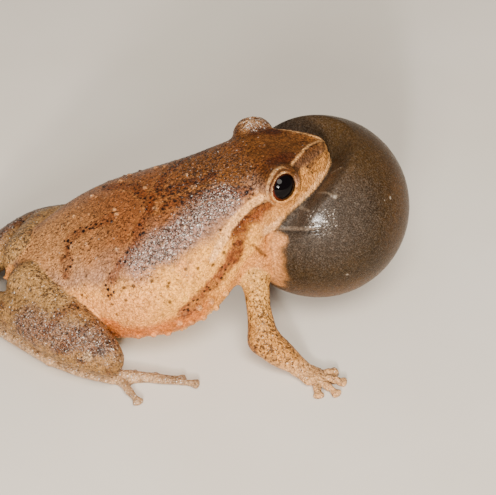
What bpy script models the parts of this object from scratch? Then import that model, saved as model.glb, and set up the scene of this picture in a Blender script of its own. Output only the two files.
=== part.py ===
"""A calling spring peeper (a chorus frog) at life size: a still model in solid pieces.

Shapes are worked out in millimetres in the frog's own axes: X forward, Y to its left, Z up from the
floor, with X and Y counted from the centre of the throat sac. They are built in metres, and the
parent empty then sets the bottom centre of the whole frog on the world origin.
"""

import math

import bmesh
import bpy
import numpy as np
from mathutils import Vector

MM = 0.001
GAP = 0.3  # clear space between pieces that touch
BIG = 60.0  # side of a block that cuts away all of one side

# Trunk and head, from snout to vent. Each row is one cross-section: its place along the body, how far
# its middle is shifted to the left, the height of the back, the half width and height of the upper
# corner, of the widest place and of the lower corner, and the height of the underside.
BODY = [
    (0.28, 0.0, 13.80, 1.20, 13.62, 1.42, 12.60, 0.95, 12.00, 11.90),
    (-0.6, 0.0, 14.10, 1.72, 13.92, 2.25, 12.20, 1.75, 11.50, 11.30),
    (-2.4, 0.0, 14.42, 2.20, 14.20, 3.30, 11.70, 2.70, 10.60, 10.20),
    (-4.8, 0.0, 14.65, 2.50, 14.35, 4.25, 11.10, 3.60, 9.20, 8.50),
    (-7.2, 0.0, 14.10, 3.10, 13.30, 4.85, 10.20, 4.20, 6.90, 5.60),
    (-9.8, 0.2, 12.95, 3.85, 11.95, 5.70, 8.50, 5.15, 4.05, 2.30),
    (-12.6, 0.6, 11.80, 4.70, 10.50, 6.80, 7.00, 5.75, 2.60, 0.70),
    (-15.5, 1.1, 10.60, 5.10, 9.30, 7.25, 5.80, 5.50, 1.85, 0.00),
    (-18.5, 1.8, 9.00, 4.60, 7.90, 6.40, 4.90, 4.90, 1.65, 0.10),
    (-21.3, 2.6, 7.20, 3.40, 6.50, 4.70, 4.30, 3.60, 1.90, 1.00),
    (-23.6, 3.3, 5.60, 2.10, 5.20, 2.80, 3.90, 2.10, 2.60, 2.10),
]
SNOUT = (0.6, 0.0, 12.85)
VENT = (-24.9, 3.7, 3.9)
NECK_X = -8.7  # where the head is parted from the trunk
MOUTH = [(2.0, 12.45), (-0.6, 11.85), (-2.4, 11.25), (-4.8, 10.55), (-7.2, 10.05), (-12.0, 9.6)]

# The inflated throat sac, a ball that the head presses a hollow into.
SAC_CENTRE = (0.0, 0.0, 7.6)
SAC_RADIUS = 7.25
SAC_DENT = 2.6
SAC_DENT_REACH = 2.4
HEAD_PLAN = [(0.1, 0.9), (-1.2, 2.2), (-2.4, 3.2), (-4.8, 4.2), (-7.2, 4.8), (-9.8, 5.6)]

# The eyes: a dome of skin over each, and the eye as a lens cut from a ball.
DOME_AT = (-4.35, 3.12, 13.3)
DOME_SIZE = (1.65, 1.55, 1.65)
EYE_AT = (-4.3, 3.4, 13.24)
EYE_RADIUS = 1.3
EYE_AXIS = (0.22, 0.93, 0.22)
EYE_BACK = 0.15  # the lens is cut flat this far out from the ball's middle
LID_OPENING = 1.12
EAR_AT = (-7.3, 4.55, 11.3)
EAR_SIZE = (0.95, 0.4, 0.95)
NOSTRIL_AT = (-0.3, 1.75, 13.3)
NOSTRIL_RADIUS = 0.22

# Limbs. Each row is a point on the middle line, then the half width across and up.
UPPER_ARM = {
    "r": [(-8.6, -2.6, 7.4, 1.6, 1.6), (-7.0, -4.4, 5.9, 1.15, 1.2), (-7.1, -6.3, 4.0, 0.95, 1.0), (-7.25, -8.0, 2.3, 1.2, 1.2)],
    "l": [(-8.6, 2.9, 7.4, 1.6, 1.6), (-7.4, 4.7, 5.9, 1.15, 1.2), (-8.1, 6.6, 4.0, 0.95, 1.0), (-8.7, 8.2, 2.4, 1.2, 1.2)],
}
FOREARM = {
    "r": [(-7.25, -8.0, 2.2, 1.2, 1.2), (-6.4, -9.0, 1.6, 1.2, 1.05), (-5.1, -10.3, 0.75, 0.75, 0.65)],
    "l": [(-8.7, 8.2, 2.3, 1.2, 1.2), (-7.9, 9.2, 1.6, 1.2, 1.05), (-6.5, 10.3, 0.75, 0.75, 0.65)],
}
PALM = {
    "r": [(-5.15, -10.25, 0.6, 0.72, 0.5), (-4.3, -11.3, 0.35, 1.05, 0.38)],
    "l": [(-6.6, 10.2, 0.6, 0.75, 0.5), (-5.3, 10.9, 0.35, 1.05, 0.38)],
}
FINGER_TIPS = {
    "r": [(-2.1, -11.2), (-1.9, -12.7), (-3.0, -13.9), (-4.6, -13.7)],
    "l": [(-4.2, 8.8), (-2.9, 9.9), (-2.7, 11.5), (-4.3, 12.9)],
}
THIGH = {
    "r": [(-23.3, 1.4, 4.3, 2.0, 2.1), (-21.6, -2.6, 3.7, 2.0, 2.1), (-19.8, -6.0, 2.7, 1.5, 1.7)],
    "l": [(-22.6, 5.0, 4.3, 2.0, 2.1), (-20.0, 8.0, 3.7, 2.0, 2.1), (-17.2, 9.8, 2.7, 1.5, 1.7)],
}
SHANK = {
    "r": [(-19.5, -6.6, 2.5, 1.3, 1.5), (-21.6, -4.3, 2.95, 1.8, 1.95), (-24.6, -0.3, 3.25, 1.6, 1.75), (-27.3, 3.2, 2.3, 0.9, 0.9)],
    "l": [(-17.0, 10.4, 2.5, 1.3, 1.5), (-20.2, 9.6, 2.8, 1.8, 1.9), (-24.2, 8.2, 2.7, 1.4, 1.5), (-28.0, 6.2, 2.0, 0.85, 0.85)],
}
TARSUS = {
    "r": [(-27.3, 3.6, 1.1, 0.75, 0.7), (-25.3, 0.6, 0.68, 0.7, 0.62), (-23.0, -3.0, 0.55, 0.75, 0.57)],
    "l": [(-28.1, 6.6, 1.0, 0.75, 0.7), (-25.4, 9.0, 0.7, 0.7, 0.62), (-22.7, 10.7, 0.55, 0.75, 0.57)],
}
SOLE = {
    "r": [(-23.0, -3.0, 0.5, 0.7, 0.52), (-20.8, -5.1, 0.42, 0.8, 0.45), (-18.85, -6.3, 0.33, 0.95, 0.36)],
    "l": [(-22.8, 10.6, 0.5, 0.7, 0.52), (-20.7, 11.4, 0.42, 0.85, 0.45), (-18.6, 12.0, 0.33, 1.2, 0.36)],
}
TOE_TIPS = {
    "r": [(-16.9, -6.6), (-15.5, -7.4), (-13.6, -8.4), (-12.8, -9.25), (-17.9, -9.95)],
    "l": [(-16.2, 11.0), (-14.9, 11.7), (-13.6, 12.4), (-12.8, 13.5), (-15.9, 14.4)],
}
DIGIT_RADIUS = 0.29
PAD_RADIUS = 0.47
PAD_LENGTH = 0.75
DIGIT_START = 0.45  # from the middle of the knuckles
WEB_REACH = 0.42  # how far along each toe the skin between the toes runs
WEB_DIP = 0.32  # how far along it runs midway between two toes
WEB_THICK = 0.5

COLOURS = {  # sRGB hex, roughness
    "back": ("8A5A35", 0.45),
    "belly_side": ("C9946A", 0.45),
    "sac": ("6E665C", 0.25),
    "limb": ("A9825A", 0.5),
    "digit": ("B99C74", 0.5),
    "eye": ("2A1408", 0.1),
}


def smooth_rows(rows, count):
    """The rows as `count` rows along one smooth run, spaced by the distance between their points."""
    rows = np.array(rows, float)
    step = np.linalg.norm(np.diff(rows[:, :3], axis=0), axis=1)
    at = np.concatenate([[0.0], np.cumsum(step)])
    slope = np.gradient(rows, at, axis=0)
    where = np.linspace(0.0, at[-1], count)
    k = np.clip(np.searchsorted(at, where, side="right") - 1, 0, len(at) - 2)
    length = (at[k + 1] - at[k])[:, None]
    s = (where - at[k])[:, None] / length
    from_start = (2 * s**3 - 3 * s**2 + 1) * rows[k] + (s**3 - 2 * s**2 + s) * length * slope[k]
    from_end = (3 * s**2 - 2 * s**3) * rows[k + 1] + (s**3 - s**2) * length * slope[k + 1]
    return from_start + from_end


def smooth_ring(points, count):
    """A closed ring of `count` points on a smooth curve through the given ones."""
    points = np.array(points, float)
    place = np.arange(count) * len(points) / count
    k = place.astype(int)
    s = (place - k)[:, None]
    a, b, c, d = (points[(k + j) % len(points)] for j in (-1, 0, 1, 2))
    return 0.5 * (2 * b + (c - a) * s + (2 * a - 5 * b + 4 * c - d) * s**2 + (3 * b - a - 3 * c + d) * s**3)


def closed_mesh(rings, start, end):
    """Vertices and faces of a run of rings, closed by a point at each end."""
    around = len(rings[0])
    verts = np.vstack([[start], *rings, [end]])
    last = 1 + (len(rings) - 1) * around
    faces = []
    for j in range(around):
        k = (j + 1) % around
        faces.append((0, 1 + k, 1 + j))
        faces.append((last + j, last + k, len(verts) - 1))
        for i in range(len(rings) - 1):
            a, b = 1 + i * around, 1 + (i + 1) * around
            faces.append((a + j, a + k, b + k, b + j))
    return verts, faces


def body_shape(rings=46, around=32):
    sections = smooth_rows([(r[0], r[1], (r[2] + r[-1]) / 2, *r[2:]) for r in BODY], rings)
    run = []
    for x, mid, _, top, yu, zu, yw, zw, yl, zl, bottom in sections:
        left = [(x, mid + yu, zu), (x, mid + yw, zw), (x, mid + yl, zl)]
        right = [(x, mid - yl, zl), (x, mid - yw, zw), (x, mid - yu, zu)]
        run.append(smooth_ring([(x, mid, top), *left, (x, mid, bottom), *right], around))
    return closed_mesh(run, SNOUT, VENT)


def limb_shape(rows, rings=11, around=10, cap_rings=2):
    """A tube along the rows with rounded ends."""
    run = smooth_rows(rows, rings)
    middle, across, upward = run[:, :3], run[:, 3], run[:, 4]
    ahead = np.gradient(middle, axis=0)
    ahead /= np.linalg.norm(ahead, axis=1)[:, None]
    side = np.cross((0.0, 0.0, 1.0), ahead)
    side /= np.linalg.norm(side, axis=1)[:, None]
    top = np.cross(ahead, side)
    turn = np.arange(around) * 2 * math.pi / around
    rounding = [min(across[0], upward[0]), min(across[-1], upward[-1])]

    def ring(i, angle, reach):
        centre = middle[i] + ahead[i] * reach * math.sin(angle)
        flat = np.outer(np.cos(turn) * across[i], side[i]) + np.outer(np.sin(turn) * upward[i], top[i])
        return centre + math.cos(angle) * flat

    angles = [k / (cap_rings + 1) * math.pi / 2 for k in range(1, cap_rings + 1)]
    rounds = [ring(0, a, -rounding[0]) for a in reversed(angles)]
    rounds += [ring(i, 0.0, 0.0) for i in range(rings)]
    rounds += [ring(-1, a, rounding[1]) for a in angles]
    return closed_mesh(rounds, middle[0] - ahead[0] * rounding[0], middle[-1] + ahead[-1] * rounding[1])


def ball_shape(centre, size, rings=10, around=16):
    size = np.array(size, float)
    turn = np.arange(around) * 2 * math.pi / around
    run = []
    for latitude in np.linspace(-math.pi / 2, math.pi / 2, rings + 2)[1:-1]:
        circle = np.column_stack([np.cos(turn), np.sin(turn), np.full(around, math.tan(latitude))])
        run.append(centre + circle * math.cos(latitude) * size)
    pole = np.array((0.0, 0.0, size[2]))
    return closed_mesh(run, centre - pole, centre + pole)


def sac_shape(rings=24, around=36):
    """The sac's ball, sunk where the head lies on it."""
    verts, faces = ball_shape(np.array(SAC_CENTRE), (SAC_RADIUS,) * 3, rings, around)
    outline = smooth_rows([(x, 0.0, 0.0, half) for x, half in HEAD_PLAN], 40)
    clear = np.min([np.hypot(verts[:, 0] - p[0], verts[:, 1]) - p[3] for p in outline], axis=0)
    near = np.clip(1 - np.clip(clear, 0, None) / SAC_DENT_REACH, 0, 1) ** 1.6
    high = np.clip((verts[:, 2] - SAC_CENTRE[2]) / (SAC_RADIUS * 0.55), 0, 1)
    verts[:, 2] -= SAC_DENT * near * high**3 * (3 - 2 * high)
    return verts, faces


def digit_rows(root, tip):
    """A finger or toe that lies on the floor and ends in a round pad. It starts inside the hand or foot."""
    root, tip = Vector((*root, 0.0)), Vector((*tip, 0.0))
    ahead = (tip - root).normalized()
    root += ahead * DIGIT_START
    arch = (tip - root).length * 0.5
    neck, pad = tip - ahead * PAD_LENGTH, tip - ahead * PAD_RADIUS * 0.8
    middle = root + ahead * arch
    return [
        (root.x, root.y, 0.36, DIGIT_RADIUS * 1.15, DIGIT_RADIUS * 1.1),
        (middle.x, middle.y, 0.36, DIGIT_RADIUS, DIGIT_RADIUS),
        (neck.x, neck.y, 0.27, DIGIT_RADIUS, DIGIT_RADIUS),
        (pad.x, pad.y, 0.24, PAD_RADIUS, 0.29),
    ]


def web_shape(root, tips):
    """The flat skin between the toes, as a fan round the knuckles."""
    root, tips = np.array(root, float), np.array(tips, float)
    ahead = tips - root
    order = np.argsort(np.arctan2(ahead[:, 1], ahead[:, 0]))
    ahead = ahead[order]
    edge = []
    for k, toe in enumerate(ahead):
        edge.append(root + toe * WEB_REACH)
        if k + 1 < len(ahead):
            edge.append(root + (toe + ahead[k + 1]) / 2 * WEB_DIP)
    back = -ahead.mean(axis=0)
    back /= np.linalg.norm(back)
    aside = np.array((-back[1], back[0]))
    edge += [root + back * 0.3 - aside * 0.4, root + back * 0.3 + aside * 0.4]
    count = len(edge)
    low = [(x, y, 0.0) for x, y in edge]
    high = [(x, y, WEB_THICK) for x, y in edge]
    verts = np.array([(*root, 0.0), *low, *high, (*root, WEB_THICK)])
    faces = []
    for k in range(count):
        m = (k + 1) % count
        faces.append((0, 1 + m, 1 + k))
        faces.append((1 + k, 1 + m, 1 + count + m, 1 + count + k))
        faces.append((2 * count + 1, 1 + count + k, 1 + count + m))
    return verts, faces


def mirrored(point, side):
    return (point[0], point[1] * (1 if side == "l" else -1), point[2])


def grown(shape, by=GAP):
    """The same closed shape, larger by `by` on every side."""
    verts, faces = shape
    normal = np.zeros_like(verts)
    for face in faces:
        corner = verts[list(face)]
        flow = np.cross(corner[1] - corner[0], corner[-1] - corner[0])
        normal[list(face)] += flow
    normal /= np.linalg.norm(normal, axis=1)[:, None]
    return verts + normal * by, faces


def colour_of(hex_code):
    part = [int(hex_code[i : i + 2], 16) / 255 for i in (0, 2, 4)]
    return [c / 12.92 if c <= 0.04045 else ((c + 0.055) / 1.055) ** 2.4 for c in part]


def material(name):
    found = bpy.data.materials.get(name)
    if found:
        return found
    hex_code, roughness = COLOURS[name]
    made = bpy.data.materials.new(name)
    made.use_nodes = True
    shader = made.node_tree.nodes["Principled BSDF"]
    shader.inputs["Base Color"].default_value = (*colour_of(hex_code), 1.0)
    shader.inputs["Roughness"].default_value = roughness
    return made


def solid(name, shape, finish="limb"):
    verts, faces = shape
    mesh = bpy.data.meshes.new(name)
    mesh.from_pydata([Vector(v) * MM for v in verts], [], faces)
    mesh.update()
    mesh.materials.append(material(finish))
    obj = bpy.data.objects.new(name, mesh)
    bpy.context.scene.collection.objects.link(obj)
    return obj


def block(name, low, high):
    """A box between two corners."""
    low, high = np.array(low, float), np.array(high, float)
    x, y, z = ((low[i], high[i]) for i in range(3))
    rings = [np.array([(x[0], y[0], h), (x[1], y[0], h), (x[1], y[1], h), (x[0], y[1], h)]) for h in z]
    faces = [(0, 3, 2, 1), (4, 5, 6, 7), (0, 1, 5, 4), (1, 2, 6, 5), (2, 3, 7, 6), (3, 0, 4, 7)]
    return solid(name, (np.vstack(rings), faces))


def mouth_block(name, lift, far_z):
    """Everything above or below the line of the mouth, from it to the height far_z."""
    line = [(x, z + lift) for x, z in MOUTH]
    profile = line + [(MOUTH[-1][0], far_z), (MOUTH[0][0], far_z)]
    count = len(profile)
    verts = np.array([(x, y, z) for y in (-BIG, BIG) for x, z in profile])
    faces = [tuple(range(count)), tuple(range(2 * count - 1, count - 1, -1))]
    faces += [(i, i + count, (i + 1) % count + count, (i + 1) % count) for i in range(count)]
    if far_z < line[0][1]:
        faces = [face[::-1] for face in faces]
    return solid(name, (verts, [face[::-1] for face in faces]))


def keep_largest(mesh):
    """Leaves only the largest closed surface of a mesh."""
    work = bmesh.new()
    work.from_mesh(mesh)
    left, groups = set(work.verts), []
    while left:
        group, edge = set(), [left.pop()]
        while edge:
            vert = edge.pop()
            group.add(vert)
            for link in vert.link_edges:
                other = link.other_vert(vert)
                if other in left:
                    left.discard(other)
                    edge.append(other)
        groups.append(group)
    groups.sort(key=len)
    for group in groups[:-1]:
        bmesh.ops.delete(work, geom=list(group), context="VERTS")
    work.to_mesh(mesh)
    work.free()


def combine(obj, tools, operation):
    """Joins closed solids to obj, or cuts them from it, and removes them."""
    group = bpy.data.collections.new("tools")
    for tool in tools:
        group.objects.link(tool)
    step = obj.modifiers.new("combine", "BOOLEAN")
    step.operation = operation
    step.operand_type = "COLLECTION"
    step.collection = group
    step.solver = "EXACT"
    graph = bpy.context.evaluated_depsgraph_get()
    mesh = bpy.data.meshes.new_from_object(obj.evaluated_get(graph))
    obj.modifiers.clear()
    obj.data = mesh
    keep_largest(mesh)
    for tool in tools:
        bpy.data.objects.remove(tool)
    bpy.data.collections.remove(group)
    return obj


def cut_by(obj, shapes):
    """Cuts away the room of neighbouring shapes, each with the gap round it."""
    tools = [solid(f"tool_{i}", grown(shape)) for i, shape in enumerate(shapes)]
    return combine(obj, tools, "DIFFERENCE")


def off_the_floor(obj):
    """Flattens what would reach below the floor."""
    return combine(obj, [block("floor", (-BIG, -BIG, -BIG), (BIG, BIG, 0.0))], "DIFFERENCE")


def make_trunk():
    trunk = solid("trunk", body_shape(), "back")
    combine(trunk, [block("front", (NECK_X - GAP / 2, -BIG, -BIG), (BIG, BIG, BIG))], "DIFFERENCE")
    return off_the_floor(trunk)


def eye_ball(side, extra=0.0):
    return ball_shape(np.array(mirrored(EYE_AT, side)), (EYE_RADIUS + extra,) * 3, 12, 18)


def eye_turn(side):
    return Vector(mirrored(EYE_AXIS, side)).to_track_quat("Z", "Y").to_matrix().to_4x4()


def eye_side_block(name, side, start, half_width=BIG):
    """A block that starts at `start` along the eye's axis and runs outwards."""
    obj = block(name, (-half_width, -half_width, start), (half_width, half_width, BIG))
    obj.data.transform(eye_turn(side))
    obj.data.transform(obj.matrix_world.Translation(Vector(mirrored(EYE_AT, side)) * MM))
    return obj


def lens(name, side, extra=0.0, finish="eye"):
    """The outer part of the eyeball, cut flat at its back."""
    obj = solid(name, eye_ball(side, extra), finish)
    return combine(obj, [eye_side_block("half", side, EYE_BACK - extra)], "INTERSECT")


def lid_opening(side):
    """A short round plug along the eye's axis that opens the lids."""
    turn = np.arange(20) * 2 * math.pi / 20
    ring = np.column_stack([np.cos(turn), np.sin(turn), np.zeros(20)]) * LID_OPENING
    rings = [ring + (0, 0, z) for z in (EYE_RADIUS * 0.5, EYE_RADIUS * 2)]
    shape = closed_mesh(rings, rings[0].mean(axis=0), rings[1].mean(axis=0))
    obj = solid("opening", shape)
    obj.data.transform(eye_turn(side))
    obj.data.transform(obj.matrix_world.Translation(Vector(mirrored(EYE_AT, side)) * MM))
    return obj


def make_head():
    head = solid("head", body_shape(), "back")
    cuts = [
        block("behind", (-BIG, -BIG, -BIG), (NECK_X + GAP / 2, BIG, BIG)),
        mouth_block("under", GAP / 2, -BIG),
    ]
    for cut in cuts:
        combine(head, [cut], "DIFFERENCE")
    added = []
    for side in "rl":
        added.append(solid("dome", ball_shape(np.array(mirrored(DOME_AT, side)), DOME_SIZE, 14, 22)))
        added.append(solid("ear", ball_shape(np.array(mirrored(EAR_AT, side)), EAR_SIZE, 6, 12)))
    combine(head, added, "UNION")
    for side in "rl":
        combine(head, [lens("socket", side, GAP)], "DIFFERENCE")
        combine(head, [lid_opening(side)], "DIFFERENCE")
        nostril = ball_shape(np.array(mirrored(NOSTRIL_AT, side)), (NOSTRIL_RADIUS,) * 3, 4, 8)
        combine(head, [solid("nostril", nostril)], "DIFFERENCE")
    return head


def make_lower_jaw():
    jaw = solid("lower_jaw", body_shape(), "belly_side")
    behind = block("behind", (-BIG, -BIG, -BIG), (NECK_X + GAP / 2, BIG, BIG))
    combine(jaw, [behind], "DIFFERENCE")
    return combine(jaw, [mouth_block("over", -GAP / 2, BIG)], "DIFFERENCE")


def make_arm(side):
    upper = solid(f"upper_arm_{side}", limb_shape(UPPER_ARM[side]))
    cut_by(upper, [body_shape(), sac_shape()])
    fore = solid(f"forearm_{side}", limb_shape(FOREARM[side], 8))
    cut_by(fore, [limb_shape(UPPER_ARM[side])])
    off_the_floor(fore)
    hand = solid(f"hand_{side}", limb_shape(PALM[side], 6), "digit")
    knuckle = PALM[side][-1][:2]
    fingers = [solid("finger", limb_shape(digit_rows(knuckle, tip), 7, 8, 1)) for tip in FINGER_TIPS[side]]
    combine(hand, fingers, "UNION")
    cut_by(hand, [limb_shape(FOREARM[side], 8)])
    off_the_floor(hand)


def make_leg(side):
    thigh, shank = limb_shape(THIGH[side]), limb_shape(SHANK[side], 13)
    tarsus = limb_shape(TARSUS[side])
    cut_by(solid(f"thigh_{side}", thigh), [body_shape(), shank])
    cut_by(solid(f"shank_{side}", shank), [body_shape()])
    low = cut_by(solid(f"tarsus_{side}", tarsus), [shank, thigh])
    off_the_floor(low)
    foot = solid(f"foot_{side}", limb_shape(SOLE[side], 9), "digit")
    root = SOLE[side][-1][:2]
    toes = [solid("toe", limb_shape(digit_rows(root, tip), 8, 8, 1)) for tip in TOE_TIPS[side]]
    toes.append(solid("web", web_shape(root, TOE_TIPS[side])))
    combine(foot, toes, "UNION")
    cut_by(foot, [tarsus, shank, thigh])
    off_the_floor(foot)


def gather():
    """Parents every piece to one empty, which sets the frog's bottom centre on the origin."""
    pieces = [obj for obj in bpy.context.scene.objects if obj.type == "MESH"]
    corners = np.array([v.co for obj in pieces for v in obj.data.vertices])
    low, high = corners.min(axis=0), corners.max(axis=0)
    base = bpy.data.objects.new("frog", None)
    bpy.context.scene.collection.objects.link(base)
    base.location = (-(low[0] + high[0]) / 2, -(low[1] + high[1]) / 2, -low[2])
    for obj in pieces:
        obj.parent = base
        obj.data.shade_smooth()
        obj.data.set_sharp_from_angle(angle=math.radians(40))


def main():
    for obj in list(bpy.data.objects):
        bpy.data.objects.remove(obj)
    make_trunk()
    make_head()
    make_lower_jaw()
    cut_by(solid("vocal_sac", sac_shape(), "sac"), [body_shape()])
    for side in "rl":
        lens(f"eye_{side}", side)
        make_arm(side)
        make_leg(side)
    gather()


main()
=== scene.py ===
"""The looks of a calling chorus frog: one skin over the solid model, two wet eyes, floor, light and camera.

Lengths are millimetres in the frog's own axes: X forward, Y to its left, Z up from the floor, with X
and Y counted from the centre of the throat sac. place() turns them into world metres.
"""

import itertools
import math

import bpy
import numpy as np
import openvdb
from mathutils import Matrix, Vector


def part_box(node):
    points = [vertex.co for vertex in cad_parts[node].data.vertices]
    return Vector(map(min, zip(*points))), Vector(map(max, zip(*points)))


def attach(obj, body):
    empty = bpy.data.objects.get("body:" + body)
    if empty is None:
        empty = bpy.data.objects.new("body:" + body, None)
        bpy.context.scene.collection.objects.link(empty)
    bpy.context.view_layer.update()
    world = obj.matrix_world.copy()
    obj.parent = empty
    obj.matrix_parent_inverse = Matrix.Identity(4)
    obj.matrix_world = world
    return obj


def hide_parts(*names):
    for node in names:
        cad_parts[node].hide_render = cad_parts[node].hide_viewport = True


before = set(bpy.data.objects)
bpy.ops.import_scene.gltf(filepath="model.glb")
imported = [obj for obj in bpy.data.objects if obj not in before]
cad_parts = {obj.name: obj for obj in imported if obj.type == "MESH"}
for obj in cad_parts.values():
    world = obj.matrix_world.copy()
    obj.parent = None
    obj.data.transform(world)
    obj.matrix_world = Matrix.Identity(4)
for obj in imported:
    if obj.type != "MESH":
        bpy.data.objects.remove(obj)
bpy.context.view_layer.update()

MM = 0.001

# The photograph's camera, about the centre of the throat sac
CAMERA_AZIMUTH = -18.5
CAMERA_ELEVATION = 40.0
CAMERA_DISTANCE = 220.0
PIXELS_PER_MM = 12.6
FRAME_WIDTH_PX = 496
FRAME_HEIGHT_PX = 495
SAC_PIXEL = (318, 206)

# Studio
LIGHTS_AIM = (-8.0, 0.0, 5.0)
LIGHT_DISTANCE = 240.0
GLINT_ELEVATION = 18.5
KEY_WATTS = 0.72
FRONT_WATTS = 0.52
GLINT_WATTS = 0.47
WARM_LIGHT = (1.0, 0.94, 0.86)
GLINT_COLOUR = (1.0, 0.97, 0.92)
FILL_COLOUR = (1.0, 0.97, 0.93, 1.0)
FILL_STRENGTH = 0.32
FLOOR_HALF = 700.0

# Shapes, as in the solid model.
# Each section of the body: X, its middle's Y, the top's Z, then half width and Z of the upper side, of the
# widest place and of the lower side, and the bottom's Z. Each row of a limb: X, Y, Z, half width, half height.
BODY = [
    (0.50, 0.0, 13.75, 0.35, 13.62, 0.75, 12.60, 0.55, 12.15, 12.05),
    (0.28, 0.0, 14.02, 0.50, 13.92, 1.15, 12.70, 0.85, 12.12, 11.95),
    (-0.6, 0.0, 14.36, 1.10, 14.24, 2.00, 12.42, 1.62, 11.68, 11.35),
    (-2.4, 0.0, 14.50, 2.05, 14.32, 3.30, 11.75, 2.70, 10.60, 10.20),
    (-4.8, 0.0, 14.65, 2.50, 14.35, 4.25, 11.10, 3.60, 9.20, 8.50),
    (-7.2, 0.0, 14.10, 3.10, 13.30, 4.85, 10.20, 4.20, 6.90, 5.60),
    (-9.8, 0.2, 12.95, 3.85, 11.95, 5.70, 8.50, 5.15, 4.05, 2.30),
    (-12.6, 0.6, 11.80, 4.70, 10.50, 6.80, 7.00, 5.75, 2.60, 0.70),
    (-15.5, 1.1, 10.60, 5.10, 9.30, 7.25, 5.80, 5.50, 1.85, 0.00),
    (-18.5, 1.8, 9.00, 4.60, 7.90, 6.40, 4.90, 4.90, 1.65, 0.10),
    (-21.3, 2.6, 7.20, 3.40, 6.50, 4.70, 4.30, 3.60, 1.90, 1.00),
    (-23.6, 3.3, 5.60, 2.10, 5.20, 2.80, 3.90, 2.10, 2.60, 2.10),
]
SNOUT = (0.75, 0.0, 12.75)
VENT = (-24.9, 3.7, 3.9)

SAC_CENTRE = (0.0, 0.0, 7.6)
SAC_RADIUS = 7.25
SAC_DENT = 2.7
SAC_DENT_REACH = 1.9
HEAD_PLAN = [(0.1, 0.9), (-1.2, 2.2), (-2.4, 3.2), (-4.8, 4.2), (-7.2, 4.8), (-9.8, 5.6)]

DOME_AT = (-4.35, 3.12, 13.3)
DOME_SIZE = (1.65, 1.55, 1.65)
EYE_AT = (-4.5, 3.3, 13.45)
EYE_RADIUS = 1.3
EYE_AXIS = (0.2, 0.9, 0.3)
LID_OPENING = 1.08
LID_NARROW = 0.82
LID_SLANT = (0.45, 0.0, 1.0)  # the long way of the opening
EAR_AT = (-7.3, 4.55, 11.3)
NOSTRIL_AT = (-0.45, 1.15, 13.95)
PUPIL_WIDE = 0.98
PUPIL_HIGH = 0.97
PUPIL_AHEAD = 0.07

THROAT_FOLD = [(-7.4, 3.6, 9.3, 1.0, 1.1), (-6.4, 4.1, 7.6, 0.95, 1.1), (-5.9, 4.1, 5.8, 0.7, 0.9)]
UPPER_ARM = {
    "r": [
        (-8.6, -2.6, 7.4, 1.6, 1.6), (-7.0, -4.4, 5.9, 1.15, 1.2), (-7.1, -6.3, 4.0, 0.95, 1.0),
        (-7.25, -8.0, 2.3, 1.2, 1.2),
    ],
    "l": [
        (-8.6, 2.9, 7.4, 1.6, 1.6), (-7.4, 4.7, 5.9, 1.15, 1.2), (-8.1, 6.6, 4.0, 0.95, 1.0),
        (-8.7, 8.2, 2.4, 1.2, 1.2),
    ],
}
FOREARM = {
    "r": [
        (-7.25, -8.0, 2.2, 1.2, 1.2), (-6.4, -9.0, 1.6, 1.2, 1.05), (-5.1, -10.3, 0.75, 0.75, 0.65),
    ],
    "l": [(-8.7, 8.2, 2.3, 1.2, 1.2), (-7.9, 9.2, 1.6, 1.2, 1.05), (-6.5, 10.3, 0.75, 0.75, 0.65)],
}
PALM = {
    "r": [(-5.15, -10.25, 0.6, 0.72, 0.5), (-4.3, -11.3, 0.35, 1.05, 0.38)],
    "l": [(-6.6, 10.2, 0.6, 0.75, 0.5), (-5.3, 10.9, 0.35, 1.05, 0.38)],
}
FINGER_TIPS = {
    "r": [(-2.1, -11.2), (-1.9, -12.7), (-3.0, -13.9), (-4.6, -13.7)],
    "l": [(-4.2, 8.8), (-2.9, 9.9), (-2.7, 11.5), (-4.3, 12.9)],
}
THIGH = {
    "r": [(-23.3, 1.4, 4.3, 2.0, 2.1), (-21.6, -2.6, 3.7, 2.0, 2.1), (-19.8, -6.0, 2.7, 1.5, 1.7)],
    "l": [(-22.6, 5.0, 4.3, 2.0, 2.1), (-20.0, 8.0, 3.7, 2.0, 2.1), (-17.2, 9.8, 2.7, 1.5, 1.7)],
}
SHANK = {
    "r": [
        (-19.5, -6.6, 2.5, 1.3, 1.5), (-21.6, -4.3, 2.95, 1.8, 1.95),
        (-24.6, -0.3, 3.25, 1.6, 1.75), (-27.3, 3.2, 2.3, 0.9, 0.9),
    ],
    "l": [
        (-17.0, 10.4, 2.5, 1.3, 1.5), (-20.2, 9.6, 2.8, 1.8, 1.9), (-24.2, 8.2, 2.7, 1.4, 1.5),
        (-28.0, 6.2, 2.0, 0.85, 0.85),
    ],
}
TARSUS = {
    "r": [
        (-27.3, 3.6, 1.1, 0.75, 0.7), (-25.3, 0.6, 0.68, 0.7, 0.62),
        (-23.0, -3.0, 0.55, 0.75, 0.57),
    ],
    "l": [
        (-28.1, 6.6, 1.0, 0.75, 0.7), (-25.4, 9.0, 0.7, 0.7, 0.62), (-22.7, 10.7, 0.55, 0.75, 0.57),
    ],
}
SOLE = {
    "r": [
        (-23.0, -3.0, 0.5, 0.7, 0.52), (-20.8, -5.1, 0.42, 0.8, 0.45),
        (-18.85, -6.3, 0.33, 0.95, 0.36),
    ],
    "l": [
        (-22.8, 10.6, 0.5, 0.7, 0.52), (-20.7, 11.4, 0.42, 0.85, 0.45),
        (-18.6, 12.0, 0.33, 1.2, 0.36),
    ],
}
TOE_TIPS = {
    "r": [(-16.9, -6.6), (-15.5, -7.4), (-13.6, -8.4), (-12.8, -9.25), (-17.9, -9.95)],
    "l": [(-16.2, 11.0), (-14.9, 11.7), (-13.6, 12.4), (-12.8, 13.5), (-15.9, 14.4)],
}
DIGIT_RADIUS = 0.29
PAD_RADIUS = 0.47
PAD_LENGTH = 0.75
DIGIT_START = 0.45
WEB_REACH = 0.42
WEB_DIP = 0.32

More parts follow.
